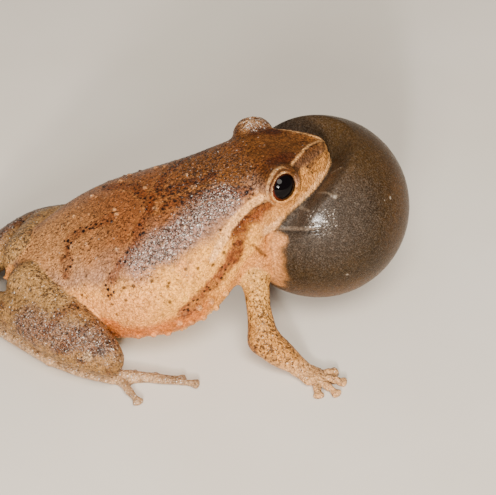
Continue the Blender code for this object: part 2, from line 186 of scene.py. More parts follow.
# Colours of the living skin, and of the light and shade painted on it
BACK_BROWN = "885028"
NAPE_BROWN = "6C4016"
HEAD_BROWN = "643C1A"
RUMP_TAN = "BC8350"
FLANK_GREY = "A67C62"
FLANK_PEACH = "F4A84A"
FLANK_PINK = "DE8E54"
BELLY_CREAM = "EBC488"
BELLY_ORANGE_AND_SHADE = "C06428"
MARK_AND_CREASE_SHADE_BROWN = "2E1507"
MARK_BLACK = "170A05"
MARK_EDGE = "C98746"
LIP_TAN = "C28244"
TEMPLE_BROWN = "6A3414"
THROAT_PINK = "CC8040"
LIMB_TAN = "DA9C4E"
LEG_TAN = "A87C48"
TOE_PINK = "DCAE80"
SAC_GREY = "36250F"
SAC_DARK = "241808"
SAC_RIM_BROWN_AND_GLOW = "68400E"
SNOUT_RUST = "B0702E"
SHEEN_PATCH_MAUVE = "8E6C60"
FAR_DOME_SHEEN_TAN = "A8784A"
CHEST_RUST = "864626"
CROWN_RUST = "5A2408"
SNOUT_TIP_TAN = "C88E52"
TEMPLE_RUST = "A2552C"
STRIPE_PALE = "F4B26E"
LORES_BROWN = "5A3A22"
RIDGE_PALE = "D9A066"
LIP_PALE = "E0A870"
CRINKLE_PALE = "E6C896"
WART_PALE = "DCA878"
LID_PALE = "DCA870"
NOSTRIL_SHADE_BROWN = "3A2414"
FOREARM_RUST = "BE7C3C"
TOE_BLOTCH = "8E6A4C"
SHANK_MAUVE = "80584A"
KNEE_CREAM = "DCB284"
SAC_SHEEN_GREY = "382F28"
WRINKLE_GREY = "8A7A68"
SAC_TOP_GLOW = "4A3214"
THROAT_TAN = "D08C50"
BEAD_GLINT_GREY = "C8B8A4"
FOLD_GLINT_PALE = "9A8470"
FOLD_SHADE_DARK = "180F09"
BROW_BROWN = "3A150A"
PIGMENT_BROWN = "241006"
GLINT_WHITE = "F9ECDE"
STIPPLE_GREY = "1E160F"
SAC_SHEEN_PALE = "93867A"

# Colours of the eyeball
IRIS_DARK = "240B05"
IRIS_BROWN = "3A150A"
IRIS_COPPER = "5C1C0A"
PUPIL_BLACK = "050304"
EYE_EDGE = "2A120A"

# Colours of the studio floor
BOARD_GREY = "D6CDBF"
BOARD_WARM = "DCD4C8"

# Patterns in the skin, as how many lie along a millimetre: a grain of the real skin is about 0.17 mm wide.
# The finest real pigment would be lost in the picture, so its flecks are drawn a little coarser.
GRAINS_PER_MM = 5.8
SPARKS_PER_MM = 6.0
FLECKS_PER_MM = 4.6
FINE_PER_MM = 9.0
GLITTER_PER_MM = 11.0
STIPPLE_PER_MM = 9.0
CLOUDS_PER_MM = 2.2
STRAY_PER_MM = 3.0
STRAY_REACH = 0.22
GRAIN_RELIEF = 0.08
FILM_RELIEF = 0.05
IRIS_PER_MM = 6.0

# Relief of the skin
GRAIN_SPACING = 0.34
WART_SPACING = 0.8
TUBERCLE_SPACING = 0.6
LOWEST_SKIN = 0.02
SCATTER_PRIMES = (73856093, 19349663, 83492791)
LID_RIM = 1.26
LID_GROOVE = 1.42
LID_LINE = 1.17
REAR_RIM = 1.56
REAR_GROOVE = 1.74
REAR_LINE = 1.52
EAR_RING = 0.72

# The grid that the skin is shaped on
VOXEL = 0.08
BAND = 1.4  # how far from each shape its distance is known
GRID_LOW = (-30.5, -16.0, -1.6)
GRID_HIGH = (9.0, 16.5, 16.6)

# Lines on the frog's right side; the left side has their mirror images
LIP = [
    (0.75, 0.0, 12.5), (0.3, -1.2, 12.1), (-0.74, -2.33, 11.9), (-2.03, -3.22, 11.2),
    (-3.2, -3.75, 10.8), (-4.4, -4.25, 10.45), (-5.77, -4.6, 10.16),
]
MOUTH_FOLD = [
    (-5.91, -4.55, 9.18), (-5.84, -4.55, 9.67), (-5.35, -4.6, 9.95), (-4.6, -4.9, 10.0),
    (-3.8, -5.3, 10.1), (-2.9, -5.8, 10.3), (-2.1, -6.2, 10.5),
]
CANTHUS = [
    (0.35, -0.05, 13.97), (-0.4, -0.4, 14.3), (-0.9, -0.66, 14.45), (-1.62, -1.13, 14.45),
    (-2.7, -1.96, 14.38), (-3.3, -2.7, 14.45),
]
EAR_FOLD = [
    (-5.4, -3.8, 12.9), (-5.78, -3.82, 12.65), (-6.9, -3.95, 12.25), (-7.73, -4.18, 11.65),
    (-8.58, -4.53, 11.06), (-9.3, -5.0, 10.0),
]
STRIPE = [
    (-5.6, -3.7, 12.95), (-6.54, -3.74, 12.6), (-7.74, -4.05, 12.05), (-8.95, -4.5, 11.2),
    (-9.66, -4.87, 10.3), (-10.6, -5.4, 9.2),
]
TEMPLE_TOP = (-6.5, -4.28, 11.75)
TEMPLE = [(-5.81, -3.92, 12.35), (-6.78, -4.0, 11.95), (-7.74, -4.35, 11.3), (-8.3, -4.6, 10.85)]
TEMPLE_LOW = [(-7.98, -4.55, 11.1), (-8.0, -4.9, 10.4), (-8.3, -5.1, 9.4), (-8.7, -5.26, 8.94)]
LOREAL = [
    (0.05, -0.65, 14.0), (-0.78, -1.26, 14.15), (-1.62, -1.8, 14.2), (-2.46, -2.3, 14.1),
    (-3.1, -2.95, 14.15),
]
LOREAL_LOW = [(-0.6, -1.3, 13.95), (-1.2, -1.8, 13.85), (-1.8, -2.2, 13.8)]
BROW = [(-3.2, -1.7, 14.6), (-3.9, -2.0, 14.6), (-4.6, -2.0, 14.6)]
X_FRONT = [
    (-6.9, -3.3, 13.2), (-8.3, -2.6, 13.2), (-10.5, -1.6, 12.4), (-13.1, -0.7, 11.5),
    (-13.9, -0.3, 11.2),
]
X_REAR = [
    (-13.9, -0.3, 11.2), (-14.9, -1.2, 10.6), (-16.0, -2.6, 9.7), (-17.0, -3.0, 8.9),
    (-17.8, -3.4, 8.0), (-18.6, -3.8, 6.8),
]
X_FRONT_FAR = [(-13.9, -0.3, 11.2), (-12.5, 0.5, 11.8), (-10.6, 0.1, 12.6), (-8.8, -0.5, 13.4)]
X_FRONT_LEFT = [(-13.6, 0.2, 11.3), (-12.0, 2.3, 11.7), (-10.2, 3.3, 12.1), (-8.3, 3.1, 12.9)]
X_REAR_LEFT = [(-13.9, -0.3, 11.2), (-13.8, 1.0, 11.3), (-14.3, 3.0, 10.9), (-16.1, 5.4, 9.4)]
HIP_BAR = [
    (-16.8, 1.0, 9.9), (-17.8, 1.3, 9.4), (-18.7, 1.5, 8.9), (-19.6, 1.8, 8.3), (-20.2, 1.4, 7.9),
    (-20.6, 0.4, 7.5), (-20.9, -0.8, 6.8),
]
THROAT_LINE = [(-7.98, -5.0, 9.9), (-7.1, -4.92, 9.3), (-6.65, -4.75, 8.7), (-6.1, -4.6, 7.8)]
CHEST_SPOTS = [
    (-9.78, -5.4, 8.81), (-9.38, -5.38, 8.74), (-9.42, -5.45, 8.34), (-10.14, -5.56, 8.34),
    (-10.38, -5.7, 7.74), (-10.86, -5.82, 7.62),
]
CRINKLES = [(-2.1, -3.1, 10.5), (-2.5, -3.5, 10.5), (-3.3, -3.8, 10.1)]
CHEST_BAND = [
    (-8.46, -5.1, 9.66), (-8.79, -5.26, 8.98), (-9.3, -5.4, 8.3), (-10.4, -5.8, 7.4),
    (-11.8, -6.2, 6.3), (-13.0, -6.3, 5.3),
]
SHINE_PATCH_LEFT = [
    (-16.0, 7.0, 8.0), (-14.2, 6.6, 8.9), (-12.6, 6.2, 9.7), (-10.6, 5.2, 10.8), (-9.0, 4.4, 11.6),
]
SHINE_PATCH = [
    (-16.0, -3.6, 9.2), (-14.2, -3.8, 10.0), (-12.6, -3.5, 10.9), (-10.6, -3.0, 12.0),
    (-9.0, -2.9, 12.6),
]
FLANK_SPOTS = [
    (-12.9, -3.9, 10.5), (-11.9, -3.4, 11.2), (-14.0, -5.2, 8.9), (-13.6, -5.7, 8.3),
    (-15.4, -5.3, 8.1), (-12.8, -4.4, 10.1), (-13.3, -5.5, 8.6), (-12.2, -5.6, 8.2),
]
BELLY_BLOTCH = [(-19.1, -4.3, 4.3), (-18.3, -4.8, 4.1)]
THROAT_EDGE = [
    (-5.5, -4.5, 9.1), (-5.6, -4.7, 8.4), (-5.6, -4.9, 7.4), (-5.4, -4.9, 5.9), (-5.2, -4.3, 4.6),
]
THROAT_LOBE = [(-5.3, -4.6, 9.0), (-4.75, -4.75, 9.15)]
SAC_WRINKLES = [
    [(-0.2, -1.9, 12.7), (0.3, -2.5, 13.0), (0.9, -3.0, 13.3)],
    [(-1.4, -3.6, 12.0), (-0.9, -4.6, 12.4), (-0.4, -5.0, 12.6)],
    [(-2.8, -3.9, 11.0), (-2.4, -4.9, 11.4)],
]
SAC_BEADS = [
    (-0.52, -5.12, 12.58), (0.93, -5.65, 12.02), (4.16, -4.81, 11.04), (0.87, -3.03, 13.31),
    (-0.12, -7.12, 6.31), (2.25, -6.83, 8.29), (3.6, -5.2, 11.3),
]
BACK_WARTS = [
    (-17.15, 4.9, 9.2), (-14.0, 5.3, 10.2), (-12.06, 4.4, 11.17), (-10.55, 1.1, 12.6), (-16.25, 1.0, 10.2),
    (-13.6, 2.1, 11.3), (-14.86, 4.8, 10.18), (-11.58, 3.8, 11.58), (-20.0, 3.5, 8.0), (-19.0, 3.7, 8.5),
]
BELLY_WARTS = [
    (-14.26, -5.5, 2.8), (-11.35, -5.7, 3.8), (-10.3, -5.5, 4.3), (-16.5, -5.0, 2.7), (-12.55, -5.9, 3.8),
    (-10.86, -5.9, 5.6), (-15.4, -5.4, 2.9), (-13.5, -6.1, 4.2), (-11.9, -6.2, 5.3), (-9.5, -5.6, 5.6),
]
SHANK_WARTS = [(-21.4, -5.5, 0.8), (-22.8, -4.2, 0.8), (-24.1, -2.6, 0.8), (-25.3, -0.4, 1.1)]
SHANK_TOP = [(-19.7, -6.7, 4.4), (-21.4, -5.9, 4.3), (-23.7, -4.0, 4.3), (-24.4, -2.4, 4.2)]
SHANK_BARS = [
    [(-20.96, -2.94, 5.66), (-23.74, -4.04, 4.28)],
    [(-19.87, -4.74, 4.85), (-22.94, -5.42, 3.42)],
    [(-19.08, -6.11, 4.2), (-21.44, -6.68, 3.06)],
]
SHINE_SPOT = (-2.0, -6.0, 11.15)
KNEE_PALE = (-21.1, -6.8, 3.4)
KNEE_DARK = (-20.0, -7.0, 3.9)


def smooth_rows(rows, count):
    """The rows as `count` rows along one smooth run, spaced by the distance between their points."""
    rows = np.array(rows, float)
    step = np.linalg.norm(np.diff(rows[:, :3], axis=0), axis=1)
    at = np.concatenate([[0.0], np.cumsum(step)])
    slope = np.gradient(rows, at, axis=0)
    where = np.linspace(0.0, at[-1], count)
    k = np.clip(np.searchsorted(at, where, side="right") - 1, 0, len(at) - 2)
    length = (at[k + 1] - at[k])[:, None]
    s = (where - at[k])[:, None] / length
    from_start = (2 * s**3 - 3 * s**2 + 1) * rows[k] + (s**3 - 2 * s**2 + s) * length * slope[k]
    from_end = (3 * s**2 - 2 * s**3) * rows[k + 1] + (s**3 - s**2) * length * slope[k + 1]
    return from_start + from_end


def smooth_ring(points, count):
    """A closed ring of `count` points on a smooth curve through the given ones."""
    points = np.array(points, float)
    place = np.arange(count) * len(points) / count
    k = place.astype(int)
    s = (place - k)[:, None]
    a, b, c, d = (points[(k + j) % len(points)] for j in (-1, 0, 1, 2))
    return 0.5 * (2 * b + (c - a) * s + (2 * a - 5 * b + 4 * c - d) * s**2 + (3 * b - a - 3 * c + d) * s**3)


def closed_mesh(rings, start, end):
    """Vertices, triangles and quads of a run of rings, closed by a point at each end."""
    around = len(rings[0])
    verts = np.vstack([[start], *rings, [end]])
    first = 1 + np.arange(around)
    after = 1 + (np.arange(around) + 1) % around
    last = (len(rings) - 1) * around
    tip = np.full(around, len(verts) - 1)
    triangles = [np.column_stack([np.zeros(around, int), after, first])]
    triangles.append(np.column_stack([last + first, last + after, tip]))
    quads = [
        np.column_stack([first, after, after + around, first + around]) + i * around
        for i in range(len(rings) - 1)
    ]
    return verts, np.vstack(triangles), np.vstack(quads)


def body_shape(rings=150, around=120):
    sections = smooth_rows([(r[0], r[1], (r[2] + r[-1]) / 2, *r[2:]) for r in BODY], rings)
    run = []
    for x, mid, _, top, yu, zu, yw, zw, yl, zl, bottom in sections:
        left = [(x, mid + yu, zu), (x, mid + yw, zw), (x, mid + yl, zl)]
        right = [(x, mid - yl, zl), (x, mid - yw, zw), (x, mid - yu, zu)]
        run.append(smooth_ring([(x, mid, top), *left, (x, mid, bottom), *right], around))
    return closed_mesh(run, SNOUT, VENT)


def limb_shape(rows, rings=40, around=32, cap_rings=8):
    """A tube along the rows with rounded ends."""
    run = smooth_rows(rows, rings)
    middle, across, upward = run[:, :3], run[:, 3], run[:, 4]
    ahead = np.gradient(middle, axis=0)
    ahead /= np.linalg.norm(ahead, axis=1)[:, None]
    side = np.cross((0.0, 0.0, 1.0), ahead)
    side /= np.linalg.norm(side, axis=1)[:, None]
    top = np.cross(ahead, side)
    turn = np.arange(around) * 2 * math.pi / around
    rounding = [min(across[0], upward[0]), min(across[-1], upward[-1])]

    def ring(i, angle, reach):
        centre = middle[i] + ahead[i] * reach * math.sin(angle)
        flat = np.outer(np.cos(turn) * across[i], side[i]) + np.outer(np.sin(turn) * upward[i], top[i])
        return centre + math.cos(angle) * flat

    angles = [k / (cap_rings + 1) * math.pi / 2 for k in range(1, cap_rings + 1)]
    rounds = [ring(0, a, -rounding[0]) for a in reversed(angles)]
    rounds += [ring(i, 0.0, 0.0) for i in range(rings)]
    rounds += [ring(-1, a, rounding[1]) for a in angles]
    return closed_mesh(rounds, middle[0] - ahead[0] * rounding[0], middle[-1] + ahead[-1] * rounding[1])


def ball_shape(centre, size, rings=40, around=64):
    size = np.array(size, float)
    turn = np.arange(around) * 2 * math.pi / around
    run = []
    for latitude in np.linspace(-math.pi / 2, math.pi / 2, rings + 2)[1:-1]:
        circle = np.column_stack([np.cos(turn), np.sin(turn), np.full(around, math.tan(latitude))])
        run.append(centre + circle * math.cos(latitude) * size)
    pole = np.array((0.0, 0.0, size[2]))
    return closed_mesh(run, centre - pole, centre + pole)


def sac_shape(rings=160, around=240):
    """The sac's ball, pressed in where the head lies on it."""
    verts, triangles, quads = ball_shape(np.array(SAC_CENTRE), (SAC_RADIUS,) * 3, rings, around)
    outline = smooth_rows([(x, 0.0, 0.0, half) for x, half in HEAD_PLAN], 40)
    clear = np.min([np.hypot(verts[:, 0] - p[0], verts[:, 1]) - p[3] for p in outline], axis=0)
    near = (1 - np.clip(clear / SAC_DENT_REACH, 0, 1) ** 2) ** 2
    high = np.clip((verts[:, 2] - SAC_CENTRE[2]) / (SAC_RADIUS * 0.4), 0, 1)
    inward = SAC_DENT * near * high**2 * (3 - 2 * high) * ease(-5.5, -1.5, verts[:, 0]) / SAC_RADIUS
    verts -= (verts - SAC_CENTRE) * inward[:, None]
    return verts, triangles, quads


def digit_rows(root, tip):
    """A finger or toe that lies on the floor and ends in a round pad. It starts inside the hand or foot."""
    root, tip = np.array(root, float), np.array(tip, float)
    length = np.linalg.norm(tip - root)
    ahead = (tip - root) / length
    root = root + ahead * DIGIT_START
    length -= DIGIT_START
    rows = [(root, 0.36, 1.2, 1.15), (root + ahead * length * 0.3, 0.36, 0.95, 1.0)]
    rows += [(root + ahead * length * 0.5, 0.33, 1.15, 1.08), (root + ahead * length * 0.68, 0.29, 0.85, 0.9)]
    run = [(*p, z, DIGIT_RADIUS * wide, DIGIT_RADIUS * high) for p, z, wide, high in rows]
    neck, pad = tip - ahead * PAD_LENGTH, tip - ahead * PAD_RADIUS * 0.8
    run.append((*neck, 0.25, DIGIT_RADIUS * 0.95, DIGIT_RADIUS * 0.9))
    run.append((*pad, 0.23, PAD_RADIUS, 0.28))
    return run


def mirrored(point, side):
    return np.array((point[0], point[1] * (1 if side == "l" else -1), point[2]))


class Field:
    """A grid of distances to a surface, into which shapes are blended one by one."""

    def __init__(self):
        self.low = np.floor(np.array(GRID_LOW) / VOXEL).astype(int)
        self.size = np.ceil(np.array(GRID_HIGH) / VOXEL).astype(int) - self.low
        self.value = np.full(self.size, BAND, np.float32)

    def window(self, low, high):
        """The part of the grid between two corners in millimetres, and the places of its points."""
        first = np.clip(np.floor(np.array(low) / VOXEL).astype(int) - self.low, 0, self.size)
        last = np.clip(np.ceil(np.array(high) / VOXEL).astype(int) + 1 - self.low, 0, self.size)
        part = tuple(slice(a, b) for a, b in zip(first, last))
        axes = [((np.arange(a, b) + c) * VOXEL).astype(np.float32) for a, b, c in zip(first, last, self.low)]
        return part, np.meshgrid(*axes, indexing="ij", sparse=True)

    def distance_to(self, shape):
        """The part of the grid round a closed mesh, and the signed distance to it, out to BAND."""
        verts, triangles, quads = shape
        grid = openvdb.FloatGrid.createLevelSetFromPolygons(
            verts.astype(np.float32),
            triangles=triangles.astype(np.uint32),
            quads=quads.astype(np.uint32),
            transform=openvdb.createLinearTransform(VOXEL),
            halfWidth=BAND / VOXEL,
        )
        part, _ = self.window(verts.min(axis=0) - BAND, verts.max(axis=0) + BAND)
        found = np.full([s.stop - s.start for s in part], BAND, np.float32)
        corner = [int(s.start + c) for s, c in zip(part, self.low)]
        grid.copyToArray(found, ijk=corner)
        return part, found

    def add(self, shape, blend):
        part, found = self.distance_to(shape)
        self.value[part] = softer_least(self.value[part], found, blend)

    def cut(self, part, distance, blend):
        """Takes away what lies nearer than zero to something, given its distance over a window."""
        self.value[part] = -softer_least(-self.value[part], distance, blend)

    def at(self, points):
        """The distance at each of some points, to the nearest grid point."""
        place = np.clip(np.rint(points / VOXEL).astype(int) - self.low, 0, self.size - 1)
        return self.value[tuple(place.T)]

    def surface(self):
        """Points and quads of the surface."""
        grid = openvdb.FloatGrid(BAND)
        grid.transform = openvdb.createLinearTransform(VOXEL)
        grid.copyFromArray(self.value, ijk=[int(c) for c in self.low])
        return grid.convertToQuads(0.0)


def softer_least(a, b, blend):
    """The lesser of two distances, rounded off over `blend`."""
    share = np.clip(0.5 + 0.5 * (b - a) / blend, 0.0, 1.0)
    return (b + (a - b) * share - blend * share * (1.0 - share)).astype(np.float32)


def chance(cells, seed):
    """A repeatable random number from 0 to 1 for each whole-numbered place."""
    key = cells.astype(np.int64).astype(np.uint32)
    first, second, third = (key[..., k] * np.uint32(prime) for k, prime in enumerate(SCATTER_PRIMES))
    key = first ^ second ^ third
    key = key ^ np.uint32(seed * 2654435761 % 2**32)
    key = (key ^ (key >> np.uint32(13))) * np.uint32(1274126177)
    key = (key ^ (key >> np.uint32(16))) * np.uint32(2246822519)
    return (key >> np.uint32(8)).astype(np.float32) / 2**24


def clouds(points, size, seed, layers=1):
    """Soft random variation from -1 to 1, with features about `size` wide and finer ones laid over them."""
    total, reach = 0.0, 0.0
    for layer in range(layers):
        place = points * (2**layer / size)
        cell = np.floor(place)
        s = place - cell
        s = s * s * (3 - 2 * s)
        for corner in itertools.product((0, 1), repeat=3):
            share = np.prod([s[:, k] if corner[k] else 1 - s[:, k] for k in range(3)], axis=0)
            total = total + share * (chance(cell + corner, seed + layer) * 2 - 1) / 2**layer
        reach += 1 / 2**layer
    return total / reach


def dots(points, spacing, seed):
    """How far each point is from the nearest scattered dot, and that dot's own random number."""
    place = points / spacing
    cell = np.floor(place)
    nearest = np.full(len(points), 9.0)
    which = np.zeros(len(points))
    for offset in itertools.product((-1, 0, 1), repeat=3):
        corner = cell + offset
        middle = corner + np.column_stack([0.15 + 0.7 * chance(corner, seed + k) for k in range(3)])
        far = np.linalg.norm(place - middle, axis=1)
        closer = far < nearest
        nearest[closer] = far[closer]
        which[closer] = chance(corner[closer], seed + 3)
    return nearest * spacing, which


def ease(low, high, value):
    """0 below `low`, 1 above `high`, smooth between; turned round where low is the greater."""
    s = np.clip((value - low) / (high - low), 0.0, 1.0)
    return s * s * (3 - 2 * s)


def path_distance(points, path, within):
    """How far each point is from a run of straight lines, and how far along it, from 0 to 1."""
    path = np.array(path, float)
    if len(path) == 1:
        path = np.vstack([path, path + 1e-6])
    inside = (points > path.min(axis=0) - within) & (points < path.max(axis=0) + within)
    near = np.flatnonzero(inside.all(axis=1))
    best, along = np.full(len(points), float(within)), np.zeros(len(points))
    for k in range(len(path) - 1):
        line = path[k + 1] - path[k]
        s = np.clip((points[near] - path[k]) @ line / (line @ line), 0, 1)
        far = np.linalg.norm(points[near] - path[k] - s[:, None] * line, axis=1)
        closer = far < best[near]
        best[near[closer]] = far[closer]
        along[near[closer]] = (k + s[closer]) / (len(path) - 1)
    return best, along


def both_sides(path):
    """A path drawn on the right of the frog, and its mirror image on the left."""
    return path, [(x, 2 * middle_of_body(x) - y, z) for x, y, z in path]


def middle_of_body(x):
    """Y of the body's middle line."""
    return float(np.interp(-x, [-row[0] for row in BODY], [row[1] for row in BODY]))


def limb_chain(tables, side, tips, knuckle):
    shapes = [limb_shape(table[side]) for table in tables]
    shapes += [limb_shape(digit_rows(knuckle, tip)) for tip in tips]
    return shapes


def web_shape(root, tips):
    """The thin skin between the toes, as a fan round the knuckles."""
    root, tips = np.array(root, float), np.array(tips, float)
    ahead = tips - root
    ahead = ahead[np.argsort(np.arctan2(ahead[:, 1], ahead[:, 0]))]
    edge = []
    for k, toe in enumerate(ahead):
        edge.append(root + toe * WEB_REACH)
        if k + 1 < len(ahead):
            edge.append(root + (toe + ahead[k + 1]) / 2 * WEB_DIP)
    back = -ahead.mean(axis=0)
    back /= np.linalg.norm(back)
    aside = np.array((-back[1], back[0]))
    edge += [root + back * 0.3 - aside * 0.4, root + back * 0.3 + aside * 0.4]
    count = len(edge)
    verts = [(*root, 0.02), *((*p, 0.02) for p in edge), *((*p, 0.34) for p in edge), (*root, 0.5)]
    k, m = np.arange(count), (np.arange(count) + 1) % count
    low = np.column_stack([np.zeros(count, int), 1 + m, 1 + k])
    high = np.column_stack([np.full(count, 2 * count + 1), 1 + count + k, 1 + count + m])
    walls = np.column_stack([1 + k, 1 + m, 1 + count + m, 1 + count + k])
    return np.array(verts), np.vstack([low, high]), walls


def build_fields():
    """The whole skin's distances under "all", and those of its parts under their names."""
    fields = {name: Field() for name in ("body", "arms", "legs", "sac")}
    fields["body"].add(body_shape(), 0.1)
    for side in "rl":
        fields["body"].add(ball_shape(mirrored(DOME_AT, side), DOME_SIZE), 0.55)
        fold = [(*mirrored(row[:3], side), *row[3:]) for row in THROAT_FOLD]
        fields["body"].add(limb_shape(fold), 0.8)
    for side in "rl":
        for shape in limb_chain((UPPER_ARM, FOREARM, PALM), side, FINGER_TIPS[side], PALM[side][-1][:2]):
            fields["arms"].add(shape, 0.35)
    for side in "rl":
        knuckle = SOLE[side][-1][:2]
        for shape in limb_chain((THIGH, SHANK, TARSUS, SOLE), side, TOE_TIPS[side], knuckle):
            fields["legs"].add(shape, 0.22)
        fields["legs"].add(web_shape(knuckle, TOE_TIPS[side]), 0.22)
    fields["sac"].add(sac_shape(), 0.1)
    skin = Field()
    skin.value = softer_least(fields["body"].value, fields["arms"].value, 0.9)
    skin.value = softer_least(skin.value, fields["legs"].value, 0.3)
    skin.value = softer_least(skin.value, fields["sac"].value, 0.6)
    for side in "rl":
        open_eye(skin, side)
    fields["all"] = skin
    return fields


def eye_frame(side):
    """The eye's middle and axis."""
    axis = mirrored(EYE_AXIS, side)
    return mirrored(EYE_AT, side), axis / np.linalg.norm(axis)


def lid_ways(side):
    """The long and the short way across the opening between the lids."""
    axis = eye_frame(side)[1]
    long_way = mirrored(LID_SLANT, side) - np.dot(mirrored(LID_SLANT, side), axis) * axis
    long_way /= np.linalg.norm(long_way)
    return long_way, np.cross(axis, long_way)


def open_eye(field, side):
    """Cuts the room of the eyeball, and opens the lids over it."""
    centre, axis = eye_frame(side)
    part, (x, y, z) = field.window(centre - 3, centre + 3)
    x, y, z = x - centre[0], y - centre[1], z - centre[2]
    out = x * axis[0] + y * axis[1] + z * axis[2]
    far = np.sqrt(x * x + y * y + z * z)
    along, across = (x * way[0] + y * way[1] + z * way[2] for way in lid_ways(side))
    aside = np.hypot(along, across / LID_NARROW)
    field.cut(part, far - (EYE_RADIUS - 0.05), 0.05)
    field.cut(part, np.maximum(aside - LID_OPENING, 0.3 - out), 0.18)


def place(points):
    """Frog millimetres to world metres."""
    return (np.asarray(points, float) + SHIFT) * MM


def find_shift():
    """Where the frog's own axes lie in the frame, read off the throat sac."""
    low, high = (np.array(corner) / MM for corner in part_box("vocal_sac"))
    return np.array((high[0] - SAC_RADIUS, (low[1] + high[1]) / 2, low[2] - (SAC_CENTRE[2] - SAC_RADIUS)))


class Skin:
    """The points of the skin, with each one's part of the frog, colour and texture."""

    def __init__(self, points, fields):
        self.points = points
        self.tint = np.tile(np.array(linear(BACK_BROWN), np.float32), (len(points), 1))
        self.height = np.zeros(len(points))
        self.specks = np.full(len(points), 0.35)
        self.glints = np.full(len(points), 0.2)
        body, arms, legs, sac = (fields[name].at(points) for name in ("body", "arms", "legs", "sac"))
        self.arm = ease(-0.15, 0.2, np.minimum(body, sac) - arms)
        self.leg = ease(-0.1, 0.2, body - legs)
        self.sac = ease(-0.1, 0.22, np.minimum(body, arms) - sac)
        self.body = np.clip(1 - self.arm - self.leg - self.sac, 0, 1)
        x, y, z = points.T
        rows = np.array([(r[0], r[1], r[2], r[-1], max(r[3], r[5], r[7])) for r in BODY])[::-1]
        middle, top, bottom, half = (np.interp(x, rows[:, 0], rows[:, k]) for k in (1, 2, 3, 4))
        self.upness = (z - bottom) / (top - bottom)
        self.aside = (y - middle) / half

    def snapped(self, path):
        """The path moved onto the skin, with points close enough to bend with it."""
        path = np.array(path, float)
        if len(path) > 1:
            at = np.linspace(0, len(path) - 1, 6 * len(path))
            path = np.column_stack([np.interp(at, np.arange(len(path)), path[:, k]) for k in range(3)])
        near = ((self.points > path.min(axis=0) - 2) & (self.points < path.max(axis=0) + 2)).all(axis=1)
        choice = self.points[near]
        if not len(choice):
            return path
        return np.array([choice[((choice - p) ** 2).sum(axis=1).argmin()] for p in path])

    def stroke(self, path, width, soft, wander=0.0):
        """1 along the path, 0 from (width / 2 + soft) away; `wander` shifts its edge at random."""
        within = width / 2 + soft + wander
        far, _ = path_distance(self.points, self.snapped(path), within)
        near = far < within
        if wander:
            far[near] += wander * clouds(self.points[near], 0.7, 1, 2)
        return ease(width / 2 + soft, width / 2, far)

    def strokes(self, path, *how):
        return np.maximum(*(self.stroke(each, *how) for each in both_sides(path)))

    def lay(self, colour, amount):
        amount = np.clip(amount, 0, 1)[:, None]
        self.tint = self.tint + (np.array(linear(colour)) - self.tint) * amount

    def shade(self, factor):
        self.tint = self.tint * factor[:, None]


def mesh_object(name, points, faces):
    """A smooth-shaded object from points in metres and faces that all have the same number of corners."""
    mesh = bpy.data.meshes.new(name)
    points = np.ascontiguousarray(points, np.float32)
    faces = np.ascontiguousarray(faces, np.int32)
    mesh.vertices.add(len(points))
    mesh.vertices.foreach_set("co", points.ravel())
    mesh.loops.add(faces.size)
    mesh.loops.foreach_set("vertex_index", faces.ravel())
    mesh.polygons.add(len(faces))
    mesh.polygons.foreach_set("loop_start", np.arange(len(faces)) * faces.shape[1])
    mesh.polygons.foreach_set("use_smooth", np.full(len(faces), True))
    mesh.update(calc_edges=True)
    obj = bpy.data.objects.new(name, mesh)
    bpy.context.scene.collection.objects.link(obj)
    return obj


def linear(hex_code):
    """An sRGB hex colour as linear red, green and blue."""
    part = [int(hex_code[i : i + 2], 16) / 255 for i in (0, 2, 4)]
    return [c / 12.92 if c <= 0.04045 else ((c + 0.055) / 1.055) ** 2.4 for c in part]


def opaque(hex_code):
    """A hex colour as the four numbers of a shader input."""
    return (*linear(hex_code), 1.0)


def node(material, kind, inputs=(), output=0, **settings):
    """Adds a shader node and gives one of its outputs, or all where `output` is None.

    The inputs are named, or in the node's own order. Each is a value, or another node's output to link.
    """
    tree = material.node_tree
    made = tree.nodes.new("ShaderNode" + kind)
    for name, value in settings.items():
        setattr(made, name, value)
    for name, value in inputs.items() if isinstance(inputs, dict) else enumerate(inputs):
        if isinstance(value, bpy.types.NodeSocket):
            tree.links.new(value, made.inputs[name])
        else:
            made.inputs[name].default_value = value
    return made.outputs if output is None else made.outputs[output]


def new_material(name):
    made = bpy.data.materials.new(name)
    made.use_nodes = True
    return made, made.node_tree.nodes["Principled BSDF"]


def set_inputs(material, shader, inputs):
    for name, value in inputs.items():
        if isinstance(value, bpy.types.NodeSocket):
            material.node_tree.links.new(value, shader.inputs[name])
        else:
            shader.inputs[name].default_value = value


def millimetres(material):
    """Object coordinates in millimetres."""
    place = node(material, "TexCoord", output="Object")
    return node(material, "VectorMath", {0: place, "Scale": 1 / MM}, operation="SCALE")


def cells(material, place, scale):
    """Rounded cells: the distance from each one's middle, and three random numbers of its own."""
    found = node(material, "TexVoronoi", {"Vector": place, "Scale": scale}, None)
    return found["Distance"], node(material, "SeparateColor", (found["Color"],), None)


